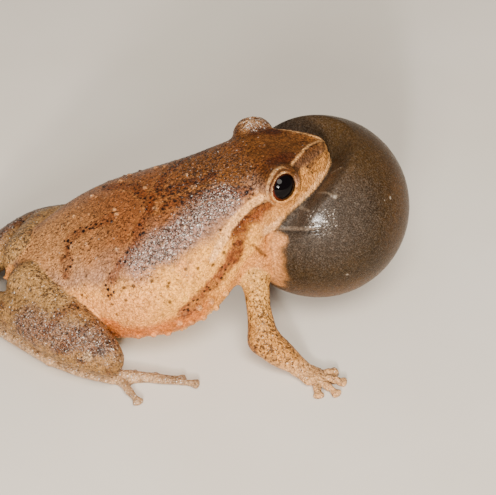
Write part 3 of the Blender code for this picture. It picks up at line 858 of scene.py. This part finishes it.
def moist_skin():
    """A frog's wet, finely grained skin, with dark pigment, and pale pinpoint glints painted into its colour
    as highlights.

    Under a thin film of mucus the grains stay matt, so the eye sees soft colour with small sharp lights on it.
    """
    made, shader = new_material("moist_frog_skin")
    mm = millimetres(made)
    tint = node(made, "Attribute", output="Color", attribute_name="tint")
    marks = node(made, "Attribute", output="Color", attribute_name="marks")
    part = node(made, "SeparateColor", (marks,), output=None)
    specks, glints, sac = part[0], part[1], part[2]
    skin = node(made, "Math", (1.0, sac), operation="SUBTRACT")
    # A little wandering keeps every pattern from looking laid out
    stray = node(
        made,
        "TexNoise",
        {"Vector": mm, "Scale": STRAY_PER_MM, "Detail": 2.0, "Roughness": 0.6},
        output=1,
    )
    stray = node(made, "VectorMath", {0: stray, "Scale": STRAY_REACH}, operation="SCALE")
    bent = node(made, "VectorMath", (mm, stray), operation="ADD")
    cloudy = node(
        made, "TexNoise", {"Vector": mm, "Scale": CLOUDS_PER_MM, "Detail": 5.0, "Roughness": 0.72}
    )
    fine = node(
        made, "TexNoise", {"Vector": bent, "Scale": FINE_PER_MM, "Detail": 3.0, "Roughness": 0.75}
    )
    grain_far, grain_own = cells(made, bent, GRAINS_PER_MM)
    spark_far, spark_own = cells(made, bent, SPARKS_PER_MM)
    # Colour: the painted tint, varied from grain to grain, with painted shade in the gaps between the grains
    varied = node(made, "MapRange", (cloudy, 0.3, 0.7, 0.78, 1.22))
    varied = node(
        made,
        "Math",
        (varied, node(made, "MapRange", (fine, 0.3, 0.7, 0.72, 1.28))),
        operation="MULTIPLY",
    )
    # Painted shade in the hollows between the grains
    painted_gap_shade = node(
        made,
        "Math",
        (node(made, "MapRange", (grain_far, 0.25, 0.7, 0.0, 0.36)), skin),
        operation="MULTIPLY",
    )
    own = node(
        made,
        "Math",
        (node(made, "Math", (grain_own[2], 0.42), operation="SUBTRACT"), 0.5, 1.0),
        operation="MULTIPLY_ADD",
    )
    varied = node(
        made,
        "Math",
        (varied, node(made, "Math", (own, painted_gap_shade), operation="SUBTRACT")),
        operation="MULTIPLY",
    )
    colour = node(made, "VectorMath", {0: tint, "Scale": varied}, operation="SCALE")
    # Dark pigment in uneven flecks, more of it where the skin is painted so
    fleck = node(
        made, "TexNoise", {"Vector": bent, "Scale": FLECKS_PER_MM, "Detail": 2.0, "Roughness": 0.7}
    )
    edge = node(made, "MapRange", (specks, 0.0, 1.0, 0.72, 0.46))
    dark = node(
        made, "MapRange", (node(made, "Math", (fleck, edge), operation="SUBTRACT"), 0.0, 0.05, 0.0, 0.8)
    )
    colour = node(
        made,
        "Mix",
        {
            0: node(made, "Math", (dark, skin), operation="MULTIPLY"),
            6: colour,
            7: opaque(PIGMENT_BROWN),
        },
        output=2,
        data_type="RGBA",
    )
    # Painted highlights: pale glints the size of one skin grain, and finer glitter, mixed into the colour
    size = node(made, "MapRange", (spark_own[2], 0.0, 1.0, 0.26, 0.5))
    dot = node(
        made,
        "MapRange",
        (node(made, "Math", (spark_far, size), operation="DIVIDE"), 0.4, 1.0, 1.0, 0.0),
    )
    dot = node(
        made, "Math", (dot, node(made, "MapRange", (glints, 0.1, 0.8, 0.55, 1.0))), operation="MULTIPLY"
    )
    grouped = node(
        made,
        "Math",
        (glints, node(made, "MapRange", (cloudy, 0.35, 0.6, 0.25, 0.8))),
        operation="MULTIPLY",
    )
    lit = node(
        made,
        "MapRange",
        (node(made, "Math", (grouped, spark_own[1]), operation="SUBTRACT"), 0.0, 0.12, 0.0, 1.0),
    )
    pale = node(made, "Math", (dot, lit), operation="MULTIPLY")
    pale = node(
        made,
        "Math",
        (pale, node(made, "MapRange", (spark_own[0], 0.0, 1.0, 0.45, 1.0))),
        operation="MULTIPLY",
    )
    glitter = node(
        made,
        "MapRange",
        (
            node(
                made,
                "TexNoise",
                {"Vector": bent, "Scale": GLITTER_PER_MM, "Detail": 2.0, "Roughness": 0.7},
            ),
            0.57,
            0.66,
            0.0,
            1.0,
        ),
    )
    glitter = node(
        made,
        "Math",
        (glitter, node(made, "MapRange", (cloudy, 0.35, 0.6, 0.4, 1.0))),
        operation="MULTIPLY",
    )
    glitter = node(
        made,
        "Math",
        (glitter, node(made, "MapRange", (glints, 0.15, 0.9, 0.0, 0.8))),
        operation="MULTIPLY",
    )
    pale = node(made, "Math", (pale, glitter), operation="MAXIMUM")
    colour = node(made, "Mix", {0: pale, 6: colour, 7: opaque(GLINT_WHITE)}, output=2, data_type="RGBA")
    # The sac's thin skin is stippled with grey pigment, and with pale specks of painted sheen
    stipple = node(
        made, "TexNoise", {"Vector": mm, "Scale": STIPPLE_PER_MM, "Detail": 3.0, "Roughness": 0.8}
    )
    dusk = node(
        made,
        "Math",
        (node(made, "MapRange", (stipple, 0.36, 0.52, 0.5, 0.0)), sac),
        operation="MULTIPLY",
    )
    colour = node(
        made, "Mix", {0: dusk, 6: colour, 7: opaque(STIPPLE_GREY)}, output=2, data_type="RGBA"
    )
    # Painted sheen: pale specks over the sac
    light = node(
        made,
        "Math",
        (node(made, "MapRange", (stipple, 0.5, 0.74, 0.0, 0.3)), sac),
        operation="MULTIPLY",
    )
    colour = node(
        made, "Mix", {0: light, 6: colour, 7: opaque(SAC_SHEEN_PALE)}, output=2, data_type="RGBA"
    )
    # Texture: rounded grains with finer ones over them
    lump = node(made, "MapRange", (grain_far, 0.0, 0.75, 1.0, 0.0))
    lump = node(
        made, "Math", (lump, node(made, "MapRange", (sac, 0.0, 1.0, 1.0, 0.1))), operation="MULTIPLY"
    )
    small = node(made, "MapRange", (spark_far, 0.0, 0.7, 0.5, 0.0))
    small = node(
        made, "Math", (small, node(made, "MapRange", (sac, 0.0, 1.0, 1.0, 0.3))), operation="MULTIPLY"
    )
    height = node(
        made,
        "Math",
        (
            node(made, "Math", (lump, small), operation="ADD"),
            node(made, "Math", (fine, 0.4), operation="MULTIPLY"),
        ),
        operation="ADD",
    )
    bump = node(made, "Bump", {"Height": height, "Strength": 0.9, "Distance": GRAIN_RELIEF * MM})
    calm = node(
        made, "Math", (height, node(made, "MapRange", (sac, 0.0, 1.0, 1.0, 0.3))), operation="MULTIPLY"
    )
    film = node(made, "Bump", {"Height": calm, "Strength": 0.9, "Distance": FILM_RELIEF * MM})
    rough = node(made, "MapRange", (cloudy, 0.3, 0.7, 0.42, 0.6))
    rough = node(
        made,
        "Math",
        (rough, node(made, "Math", (sac, 0.2), operation="MULTIPLY")),
        operation="SUBTRACT",
    )
    wet = node(
        made,
        "Math",
        (
            node(made, "Math", (glints, 0.7), operation="MULTIPLY"),
            node(made, "Math", (sac, 0.04), operation="MULTIPLY"),
        ),
        operation="ADD",
    )
    set_inputs(
        made,
        shader,
        {
            "Base Color": colour,
            "Roughness": rough,
            "Normal": bump,
            "Coat Weight": node(
                made, "Math", (wet, node(made, "MapRange", (sac, 0.0, 1.0, 0.1, 0.0))), operation="ADD"
            ),
            "Coat Normal": film,
            "Coat Roughness": 0.11,
            "Coat IOR": 1.35,
            "Specular IOR Level": 0.06,
            "Subsurface Weight": 0.1,
            "Subsurface Radius": (0.9, 0.45, 0.25),
            "Subsurface Scale": 0.3 * MM,
        },
    )
    return made


def pale_floor():
    """Matt painted studio board: very slightly uneven in tone, with no shine, so that shadows stay soft."""
    made, shader = new_material("matt_studio_board")
    place = node(made, "TexCoord", output="Object")
    tone = node(made, "TexNoise", {"Vector": place, "Scale": 60.0, "Detail": 3.0})
    colour = node(
        made,
        "Mix",
        {
            0: node(made, "MapRange", (tone, 0.3, 0.7, 0.0, 1.0)),
            6: opaque(BOARD_GREY),
            7: opaque(BOARD_WARM),
        },
        output=2,
        data_type="RGBA",
    )
    set_inputs(made, shader, {"Base Color": colour, "Roughness": 0.85})
    return made


def shape_detail(skin):
    """How far the surface stands out or in, in millimetres, for folds, grains and swellings."""
    points = skin.points
    h = skin.height
    skin.lid = np.zeros(len(points))
    h += 0.05 * clouds(points, 2.2, 20, 2) * (1 - 0.8 * skin.sac)
    # Rounded grains over the back, sides and thighs, and larger ones low on the flank
    near, which = dots(points, GRAIN_SPACING, 31)
    grain = ease(0.17, 0.03, near) * (0.35 + which)
    h += 0.02 * grain * (skin.body * ease(0.1, 0.5, skin.upness) + 0.8 * skin.leg + 0.5 * skin.arm)
    near, which = dots(points, WART_SPACING, 41)
    wart = ease(0.22, 0.05, near) * (which > 0.45)
    skin.wart = wart * (which > 0.8) * skin.body * ease(-8.0, -9.5, points[:, 0])
    low_flank = skin.body * ease(0.62, 0.5, skin.upness) * ease(-8, -10, points[:, 0])
    h += wart * (0.035 * skin.body + 0.05 * low_flank + 0.06 * skin.wart)
    near, which = dots(points, TUBERCLE_SPACING, 43)
    tubercle = ease(0.3, 0.06, near) * (which > 0.62) * low_flank * ease(0.5, 0.4, skin.upness)
    h += 0.09 * tubercle
    skin.wart = 0.5 * skin.wart + 0.4 * tubercle
    for warts, wide, high in (
        (BACK_WARTS, 0.12, 0.16),
        (BELLY_WARTS, 0.28, 0.26),
        (SHANK_WARTS, 0.16, 0.16),
    ):
        for wart in warts:
            round_top = skin.strokes([wart], wide, 0.22)
            h += high * round_top
            skin.wart = np.maximum(skin.wart, round_top)
    # Folds and lines of the head
    h += 0.1 * skin.strokes(LIP, 0.3, 0.3) * (1 - skin.sac)
    h += 0.1 * skin.strokes(EAR_FOLD, 0.2, 0.35)
    h += 0.06 * skin.strokes(CANTHUS, 0.1, 0.3)
    h -= 0.16 * skin.strokes(MOUTH_FOLD, 0.02, 0.2)
    h += 0.08 * skin.strokes([(a, b, c + 0.4) for a, b, c in MOUTH_FOLD[3:]], 0.15, 0.3)
    h -= 0.12 * skin.strokes(THROAT_LINE, 0.02, 0.2)
    for crinkle in CRINKLES:
        h += 0.08 * skin.strokes([crinkle], 0.2, 0.2, 0.15)
    for wrinkle in SAC_WRINKLES:
        h += 0.06 * skin.stroke(wrinkle, 0.04, 0.16)
    for bead in SAC_BEADS:
        h += 0.03 * skin.stroke([bead], 0.04, 0.1, 0.1)
    for side in "rl":
        nostril = mirrored(NOSTRIL_AT, side)
        h -= 0.28 * skin.stroke([nostril], 0.16, 0.14)
        h += 0.07 * (skin.stroke([nostril], 0.5, 0.25) - skin.stroke([nostril], 0.2, 0.14))
        ear = skin.snapped([mirrored(EAR_AT, side)])[0]
        far = np.linalg.norm(points - ear, axis=1)
        h += 0.05 * ease(0.3, 0.0, abs(far - EAR_RING)) - 0.03 * ease(0.6, 0.3, far)
        centre, axis = eye_frame(side)
        reach = points - centre
        out = reach @ axis
        along, across = (reach @ way for way in lid_ways(side))
        aside = np.hypot(along, across / LID_NARROW)
        lid = ease(0.1, 0.4, out) * (np.linalg.norm(reach, axis=1) < 2.4)
        rear = ease(0.2, -0.4, (reach[:, 0] - 0.4 * reach[:, 2]))
        h += lid * (0.015 + 0.045 * rear) * ease(0.12, 0.0, abs(aside - LID_RIM))
        h -= lid * (0.02 + 0.03 * rear) * ease(0.1, 0.0, abs(aside - LID_GROOVE))
        rear_rim = 0.05 * ease(0.12, 0.0, abs(aside - REAR_RIM))
        h += lid * rear * (rear_rim - 0.05 * ease(0.12, 0.0, abs(aside - REAR_GROOVE)))
        line = ease(0.1, 0.03, abs(aside - LID_LINE)) * (0.08 + 0.8 * rear)
        skin.lid += lid * (line + 0.5 * rear * ease(0.1, 0.03, abs(aside - REAR_LINE)))
    h *= ease(0.05, 0.5, points[:, 2])


def paint(skin):
    """The colours and markings, with some painted light and shade, laid over one another from the ground
    colour up.
    """
    points = skin.points
    x, y, z = points.T
    up, aside = skin.upness, abs(skin.aside)
    tone = clouds(points, 1.6, 50, 3)
    # Trunk and head: brown back, greyer rump, peach flank, cream belly
    skin.lay(RUMP_TAN, ease(-15.5, -21.5, x + 0.8 * tone) * 0.85)
    skin.lay(NAPE_BROWN, ease(-13.5, -9.0, x) * 0.8)
    skin.lay(HEAD_BROWN, ease(-7.5, -5.0, x) * 0.95)
    skin.lay(SNOUT_RUST, skin.body * ease(-1.2, 0.3, x + 0.3 * tone) * 0.6)
    skin.lay(FLANK_GREY, ease(0.99, 0.88, up + 0.04 * tone) * 0.6)
    skin.lay(FLANK_PEACH, ease(0.88, 0.72, up + 0.06 * tone))
    skin.lay(FLANK_PINK, ease(-13.5, -17.0, x) * ease(0.85, 0.66, up) * 0.6)
    # Orange low on the flank: partly the skin's colour, partly painted shade where the belly turns under
    skin.lay(BELLY_ORANGE_AND_SHADE, ease(0.47, 0.36, up + 0.03 * tone) * ease(-9, -12, x) * 0.85)
    skin.lay(BELLY_CREAM, ease(0.26, 0.12, up))
    skin.lay(BELLY_ORANGE_AND_SHADE, skin.stroke(BELLY_BLOTCH, 0.5, 0.4, 0.2) * 0.8)
    # Painted sheen: the flank's shine patch, a mauve ground under dense painted glints, and sparser glints
    # over the back
    back = ease(0.9, 0.98, up)
    patch = np.maximum(skin.stroke(SHINE_PATCH, 0.8, 1.5, 0.6), skin.stroke(SHINE_PATCH_LEFT, 0.4, 1.5, 0.6))
    skin.lay(SHEEN_PATCH_MAUVE, patch * 0.75)
    skin.glints = 0.1 + 0.8 * patch + 0.2 * back * ease(-16, -8, x)
    skin.glints *= 1 - 0.75 * ease(-7.0, -5.0, x)
    # Painted highlights: glints on the eye domes, most on the far one, whose ground is painted lighter as well
    for side in "rl":
        dome = np.linalg.norm(points - mirrored((DOME_AT[0], DOME_AT[1], DOME_AT[2] + 1.4), side), axis=1)
        skin.glints += 0.75 * ease(1.5, 0.6, dome) * (side == "l") + 0.1 * ease(1.5, 0.6, dome)
        skin.lay(FAR_DOME_SHEEN_TAN, ease(1.7, 0.8, dome) * 0.45 * (side == "l"))
    nape = 0.5 * ease(0.8, 0.95, up) * ease(-16, -9, x) * ease(-4.5, -7.0, x) * 0.8
    skin.specks = 0.42 + nape + 0.1 * back + 0.5 * patch
    skin.specks += 0.25 * np.clip(clouds(points, 2.0, 53, 2), -1, 1)
    skin.specks *= ease(0.4, 0.75, up)
    skin.lay(FLANK_PINK, ease(0.1, 0.7, clouds(points, 1.3, 54, 3)) * ease(0.9, 0.8, up) * 0.45)
    skin.shade(1 + 0.15 * tone + 0.16 * clouds(points, 0.45, 52, 2))
    # The cross on the back, the bar over the hips, the chest band and the flank's spots
    near, which = dots(points, 0.36, 61)
    blot = ease(0.02, -0.02, near - 0.05 - 0.11 * which)
    for path in (X_FRONT, X_REAR, X_FRONT_FAR, X_FRONT_LEFT, X_REAR_LEFT, HIP_BAR):
        near_path = skin.stroke(path, 0.35, 0.5, 0.35)
        skin.lay(MARK_EDGE, skin.stroke(path, 1.2, 0.25, 0.3) * (1 - near_path) * (0.15 + 0.2 * tone))
        skin.lay(TEMPLE_BROWN, near_path * (0.55 + 0.4 * clouds(points, 0.45, 62, 2)))
        skin.lay(MARK_BLACK, ease(0.1, 0.45, near_path) * blot)
    band = skin.strokes(CHEST_BAND, 0.8, 0.6, 0.35)
    skin.lay(CHEST_RUST, band * (0.85 + 0.4 * clouds(points, 0.4, 64, 2)))
    skin.lay(MARK_BLACK, band * blot * (which > 0.35) * 0.9)
    scatter = skin.body * ease(0.5, 0.6, up) * ease(0.93, 0.85, up) * ease(-8.5, -9.5, x)
    skin.lay(MARK_BLACK, scatter * blot * (which > 0.9) * 0.8)
    for spot in FLANK_SPOTS + CHEST_SPOTS:
        skin.lay(MARK_BLACK, skin.strokes([spot, spot], 0.14, 0.08))
    # Head
    near, which = dots(points, 0.5, 67)
    crown = skin.body * ease(0.93, 0.98, up) * ease(-7.5, -6.0, x)
    crown *= ease(-0.2, 0.4, clouds(points, 1.3, 68, 2))
    skin.lay(MARK_BLACK, crown * ease(0.02, -0.02, near - 0.03 - 0.08 * which) * 0.85)
    skin.lay(CROWN_RUST, crown * 0.35)
    skin.lay(SNOUT_TIP_TAN, skin.body * ease(-0.6, 0.3, x + 0.2 * tone) * 0.75)
    skin.lay(LIP_TAN, ease(0.9, 0.75, up) * ease(-7.5, -6.0, x) * 0.9 * skin.body)
    skin.lay(THROAT_PINK, ease(0.45, 0.3, up) * ease(-11, -8, x) * ease(-4.0, -6.0, x) * 0.8)
    streaks = clouds(points * (1.0, 1.0, 2.6), 0.6, 65, 2)
    skin.lay(TEMPLE_RUST, skin.strokes([TEMPLE_TOP], 0.55, 0.6, 0.2) * 0.75)
    skin.lay(TEMPLE_BROWN, skin.strokes(TEMPLE, 0.7, 0.8, 0.2) * (0.9 + 0.2 * streaks))
    skin.lay(TEMPLE_BROWN, skin.strokes(TEMPLE_LOW, 0.4, 0.6, 0.3) * (0.65 + 0.5 * streaks))
    skin.lay(STRIPE_PALE, skin.strokes(STRIPE, 0.45, 0.16, 0.1) * 0.9)
    # Painted shade: dark lines under the ear fold and in the throat and mouth folds
    skin.lay(MARK_AND_CREASE_SHADE_BROWN, skin.strokes([(a, b, c - 0.12) for a, b, c in EAR_FOLD[:5]], 0.06, 0.16, 0.1) * 0.6)
    skin.lay(MARK_AND_CREASE_SHADE_BROWN, skin.strokes(THROAT_LINE, 0.05, 0.14, 0.08) * 0.6)
    skin.lay(MARK_AND_CREASE_SHADE_BROWN, skin.strokes(MOUTH_FOLD, 0.03, 0.12, 0.06) * 0.5)
    lores = np.maximum(skin.strokes(LOREAL, 0.45, 0.3, 0.2), 0.85 * skin.strokes(LOREAL_LOW, 0.4, 0.35, 0.25))
    skin.lay(LORES_BROWN, lores * (0.85 + 0.3 * clouds(points, 0.4, 63, 2)))
    skin.lay(MARK_BLACK, skin.strokes([(a, b - 0.1, c - 0.14) for a, b, c in CANTHUS[:4]], 0.08, 0.12) * 0.75)
    skin.lay(BROW_BROWN, skin.strokes(BROW, 0.6, 0.5, 0.2) * 0.7)
    skin.lay(RIDGE_PALE, skin.strokes(CANTHUS, 0.05, 0.14, 0.02) * 0.7)
    skin.lay(LIP_PALE, skin.strokes(LIP, 0.5, 0.35, 0.3) * 0.65)
    for crinkle in CRINKLES:
        skin.lay(CRINKLE_PALE, skin.strokes([crinkle], 0.2, 0.2, 0.15) * 0.8)
    skin.specks += 0.35 * skin.body * ease(-4.0, -3.0, x) * ease(0.9, 0.8, up)
    skin.lay(WART_PALE, skin.wart * 0.4)
    skin.lay(LID_PALE, skin.lid * 0.85)
    # Painted shade in the nostril openings
    skin.lay(NOSTRIL_SHADE_BROWN, skin.strokes([NOSTRIL_AT], 0.15, 0.12))
    # Limbs
    skin.lay(LIMB_TAN, skin.arm)
    skin.lay(LEG_TAN, skin.leg)
    skin.lay(FOREARM_RUST, skin.arm * ease(5.5, 2.5, z) * 0.6)
    limb = skin.arm + skin.leg
    low = limb * ease(2.0, 0.4, z)
    skin.lay(TOE_PINK, low * (0.3 + 0.35 * skin.leg))
    skin.lay(TOE_BLOTCH, low * ease(0.0, 0.5, clouds(points, 0.6, 74, 2)) * 0.4)
    blotch = ease(0.1, 0.5, clouds(points, 1.1, 70, 3))
    skin.lay(TEMPLE_BROWN, limb * blotch * 0.45 * ease(0.4, 1.4, z))
    middle = skin.leg * skin.strokes(SHANK_TOP, 1.2, 1.4, 0.6)
    skin.lay(SHANK_MAUVE, middle * 0.65)
    bars = skin.leg * np.max([skin.strokes(bar, 0.3, 0.4, 0.4) for bar in SHANK_BARS], axis=0)
    skin.lay(TEMPLE_BROWN, bars * 0.5)
    near, which = dots(points, 0.34, 71)
    blot = ease(0.02, -0.03, near - 0.04 - 0.1 * which)
    heavy = np.clip(0.15 + 0.5 * blotch + 0.5 * middle + bars, 0, 1)
    skin.lay(MARK_BLACK, limb * blot * 0.9 * ease(0.5, 1.6, z) * heavy * (0.5 + 0.5 * skin.leg))
    knee = skin.strokes([KNEE_PALE], 0.5, 0.3, 0.15)
    skin.lay(KNEE_CREAM, knee * 0.85)
    skin.lay(MARK_AND_CREASE_SHADE_BROWN, skin.strokes([KNEE_DARK], 0.4, 0.35, 0.3) * 0.75)
    limb_specks = 0.66 + 0.3 * clouds(points, 1.6, 73, 2) + 0.2 * middle + 0.2 * bars - 0.25 * low
    skin.specks = skin.specks * (1 - limb) + limb_specks * limb
    # Painted highlights: glints on the legs and toes, fewer on the arms
    leg_glints = 0.28 + 0.3 * middle * (1 - knee) + 0.25 * low
    skin.glints = skin.glints * (1 - limb) + 0.15 * skin.arm + leg_glints * skin.leg
    # Sac
    skin.lay(SAC_GREY, skin.sac)
    skin.lay(SAC_DARK, skin.sac * (0.5 + 0.4 * clouds(points, 3.0, 80, 3) + 0.3 * clouds(points, 0.9, 82, 2)))
    # Painted sheen: a greyer patch on each side of the sac, the near one where it bulges towards the front
    # lamps
    between = (SAC_CENTRE[0] - 1.7, 0, SAC_CENTRE[2] + 4.0)
    beside = np.linalg.norm(points - between - np.outer(np.sign(y), (0, 5.2, 0)), axis=1)
    skin.lay(SAC_SHEEN_GREY, skin.sac * ease(6.0, 2.5, beside) * 0.75)
    # Browner towards the sac's lower and front edges: partly its own colour, partly painted glow of light
    # through the thin membrane
    rim = ease(6.5, 1.8, z) * 0.85 + 0.45 * ease(2.0, 6.8, x)
    skin.lay(SAC_RIM_BROWN_AND_GLOW, skin.sac * rim * np.clip(0.85 + 0.5 * clouds(points, 1.8, 83, 3), 0, 1))
    for wrinkle in SAC_WRINKLES:
        skin.lay(WRINKLE_GREY, skin.sac * skin.stroke(wrinkle, 0.03, 0.13, 0.1) * 0.3)
    # Painted glow: warmer brown at the top, where light shows through the thin membrane
    skin.lay(SAC_TOP_GLOW, skin.sac * ease(12.0, 14.5, z) * 0.5)
    throat = np.maximum(skin.strokes(THROAT_EDGE, 0.1, 1.6, 0.15), skin.strokes(THROAT_LOBE, 0.1, 1.0, 0.15))
    throat = ease(0.05, 0.95, throat + 0.2 * clouds(points, 0.3, 81, 3) * ease(0.0, 0.4, throat))
    skin.lay(THROAT_TAN, throat * skin.sac * 0.95)
    # Painted highlights: the mucus beads are painted pale grey
    for bead in SAC_BEADS:
        skin.lay(BEAD_GLINT_GREY, skin.stroke([bead], 0.02, 0.08, 0.14) * 0.4)
    # Painted highlight along the skin above the mouth fold, and painted shade in the fold itself
    above_fold = [(a, b, c + 0.25) for a, b, c in MOUTH_FOLD[2:]]
    skin.lay(FOLD_GLINT_PALE, skin.sac * skin.strokes(above_fold, 0.06, 0.22, 0.2) * 0.25)
    skin.lay(FOLD_SHADE_DARK, skin.sac * skin.strokes(MOUTH_FOLD, 0.03, 0.12, 0.06) * 0.8)
    skin.stipple = skin.sac * (1 - 0.85 * throat)
    skin.specks *= 1 - skin.sac
    # Painted highlight: at the sac's shine spot the glints whiten the colour, as well as wetting the coat
    shine = 0.015 + 0.5 * skin.strokes([SHINE_SPOT], 0.5, 2.0) + 0.8 * skin.strokes([SHINE_SPOT], 0.3, 0.7)
    skin.glints = skin.glints * (1 - skin.sac) + shine * skin.sac


def set_colours(mesh, name, rows):
    """Stores three numbers at each vertex for the shader."""
    layer = mesh.color_attributes.new(name, "FLOAT_COLOR", "POINT")
    layer.data.foreach_set("color", np.column_stack([rows, np.ones(len(rows))]).astype(np.float32).ravel())


def make_skin():
    """One skin over all the flesh, with its relief, its paint and its material."""
    fields = build_fields()
    points, quads = fields["all"].surface()
    points = points.astype(float)
    piece = mesh_object("skin", place(points), quads)
    normals = np.empty(len(points) * 3, np.float32)
    piece.data.vertex_normals.foreach_get("vector", normals)
    skin = Skin(points, fields)
    shape_detail(skin)
    moved = points + normals.reshape(-1, 3) * skin.height[:, None]
    moved[:, 2] = np.maximum(moved[:, 2], LOWEST_SKIN)
    piece.data.vertices.foreach_set("co", place(moved).astype(np.float32).ravel())
    piece.data.update()
    paint(skin)
    set_colours(piece.data, "tint", np.clip(skin.tint, 0.004, 0.95))
    set_colours(piece.data, "marks", np.clip(np.column_stack([skin.specks, skin.glints, skin.stipple]), 0, 1))
    piece.data.materials.append(moist_skin())
    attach(piece, "root")
    flesh = [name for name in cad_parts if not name.startswith("eye")]
    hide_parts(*flesh)


def eye_material():
    """A wet eyeball: copper iris with a dark edge, under a large black pupil.

    The clear, smooth cornea gives it small sharp highlights.
    """
    made, shader = new_material("wet_eyeball")
    mm = millimetres(made)
    marks = node(made, "Attribute", output="Color", attribute_name="eye")
    part = node(made, "SeparateColor", (marks,), output=None)
    grain = node(
        made, "TexNoise", {"Vector": mm, "Scale": IRIS_PER_MM, "Detail": 4.0, "Roughness": 0.7}
    )
    iris = node(
        made,
        "Mix",
        {
            0: node(made, "MapRange", (grain, 0.35, 0.65, 0.0, 1.0)),
            6: opaque(IRIS_DARK),
            7: opaque(IRIS_BROWN),
        },
        output=2,
        data_type="RGBA",
    )
    iris = node(made, "Mix", {0: part[1], 6: iris, 7: opaque(IRIS_COPPER)}, output=2, data_type="RGBA")
    colour = node(
        made, "Mix", {0: part[0], 6: iris, 7: opaque(PUPIL_BLACK)}, output=2, data_type="RGBA"
    )
    colour = node(made, "Mix", {0: part[2], 6: colour, 7: opaque(EYE_EDGE)}, output=2, data_type="RGBA")
    set_inputs(
        made,
        shader,
        {
            "Base Color": colour,
            "Roughness": 0.5,
            "Specular IOR Level": 0.0,
            "Coat Weight": 1.0,
            "Coat Roughness": 0.03,
            "Coat IOR": 1.2,
        },
    )
    return made


def make_eye(side):
    centre, axis = eye_frame(side)
    verts, triangles, quads = ball_shape(centre, (EYE_RADIUS,) * 3, 160, 240)
    faces = np.vstack([triangles, quads[:, :3], quads[:, [0, 2, 3]]])
    eye = mesh_object(f"eyeball_{side}", place(verts), faces)
    reach = verts - centre
    ahead = np.cross(axis, (0, 0, 1.0))
    ahead /= np.linalg.norm(ahead)
    ahead *= np.sign(ahead[0])
    upward = np.cross(axis, ahead)
    upward *= np.sign(upward[2])
    across, high, out = reach @ ahead, reach @ upward, reach @ axis
    far = np.hypot((across - PUPIL_AHEAD) / PUPIL_WIDE, high / PUPIL_HIGH)
    pupil = ease(1.05, 0.95, far) * (out > 0)
    ring = ease(0.16, 0.02, abs(far - 1.14)) * ease(0.3, -0.4, across) * ease(0.5, -0.4, high) * (out > 0)
    edge = ease(0.95, 1.12, np.hypot(across, high)) * 0.8
    edge = np.where(out > 0, edge, 1.0)
    set_colours(eye.data, "eye", np.column_stack([pupil, ring, edge]))
    eye.data.materials.append(eye_material())
    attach(eye, "root")
    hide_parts(f"eye_{side}")


def direction(azimuth, elevation):
    """The way from the frog to a camera or a light at these angles, in degrees."""
    turn, rise = math.radians(azimuth), math.radians(elevation)
    return np.array((math.sin(turn) * math.cos(rise), -math.cos(turn) * math.cos(rise), math.sin(rise)))


def make_camera():
    turn = math.radians(CAMERA_AZIMUTH)
    back = direction(CAMERA_AZIMUTH, CAMERA_ELEVATION)
    right = np.array((math.cos(turn), math.sin(turn), 0.0))
    up = np.cross(back, right)
    aside = (SAC_PIXEL[0] - FRAME_WIDTH_PX / 2) / PIXELS_PER_MM
    below = (SAC_PIXEL[1] - FRAME_HEIGHT_PX / 2) / PIXELS_PER_MM
    at = np.array(SAC_CENTRE) + back * CAMERA_DISTANCE - right * aside + up * below
    data = bpy.data.cameras.new("camera")
    camera = bpy.data.objects.new("camera", data)
    bpy.context.scene.collection.objects.link(camera)
    camera.location = place(at)
    camera.rotation_euler = Vector(back).to_track_quat("Z", "Y").to_euler()
    data.sensor_width = 36.0
    data.lens = data.sensor_width * CAMERA_DISTANCE / (FRAME_WIDTH_PX / PIXELS_PER_MM)
    data.clip_start = 0.01
    bpy.context.scene.camera = camera


def area_light(name, azimuth, elevation, size, power, colour):
    """A round light that faces the frog from this direction."""
    way = direction(azimuth, elevation)
    data = bpy.data.lights.new(name, "AREA")
    data.shape = "DISK"
    data.size = size * MM
    data.energy = power
    data.color = colour
    light = bpy.data.objects.new(name, data)
    bpy.context.scene.collection.objects.link(light)
    light.location = place(np.array(LIGHTS_AIM) + way * LIGHT_DISTANCE)
    light.rotation_euler = Vector(way).to_track_quat("Z", "Y").to_euler()


def make_stage():
    """A pale floor, an even soft surround and three lights."""
    half = FLOOR_HALF
    corners = [(-half, -half, 0.0), (half, -half, 0.0), (half, half, 0.0), (-half, half, 0.0)]
    floor = mesh_object("floor", place(corners), [(0, 1, 2, 3)])
    floor.data.materials.append(pale_floor())
    world = bpy.data.worlds.new("studio")
    bpy.context.scene.world = world
    world.use_nodes = True
    world.node_tree.nodes["Background"].inputs["Color"].default_value = FILL_COLOUR
    world.node_tree.nodes["Background"].inputs["Strength"].default_value = FILL_STRENGTH
    area_light("key_softbox", CAMERA_AZIMUTH + 12, 58, 140, KEY_WATTS, WARM_LIGHT)
    area_light("front_softbox", CAMERA_AZIMUTH - 4, 24, 64, FRONT_WATTS, WARM_LIGHT)
    area_light("glint_lamp", CAMERA_AZIMUTH, GLINT_ELEVATION, 20, GLINT_WATTS, GLINT_COLOUR)


SHIFT = find_shift()
make_skin()
for each_side in "rl":
    make_eye(each_side)
make_stage()
make_camera()
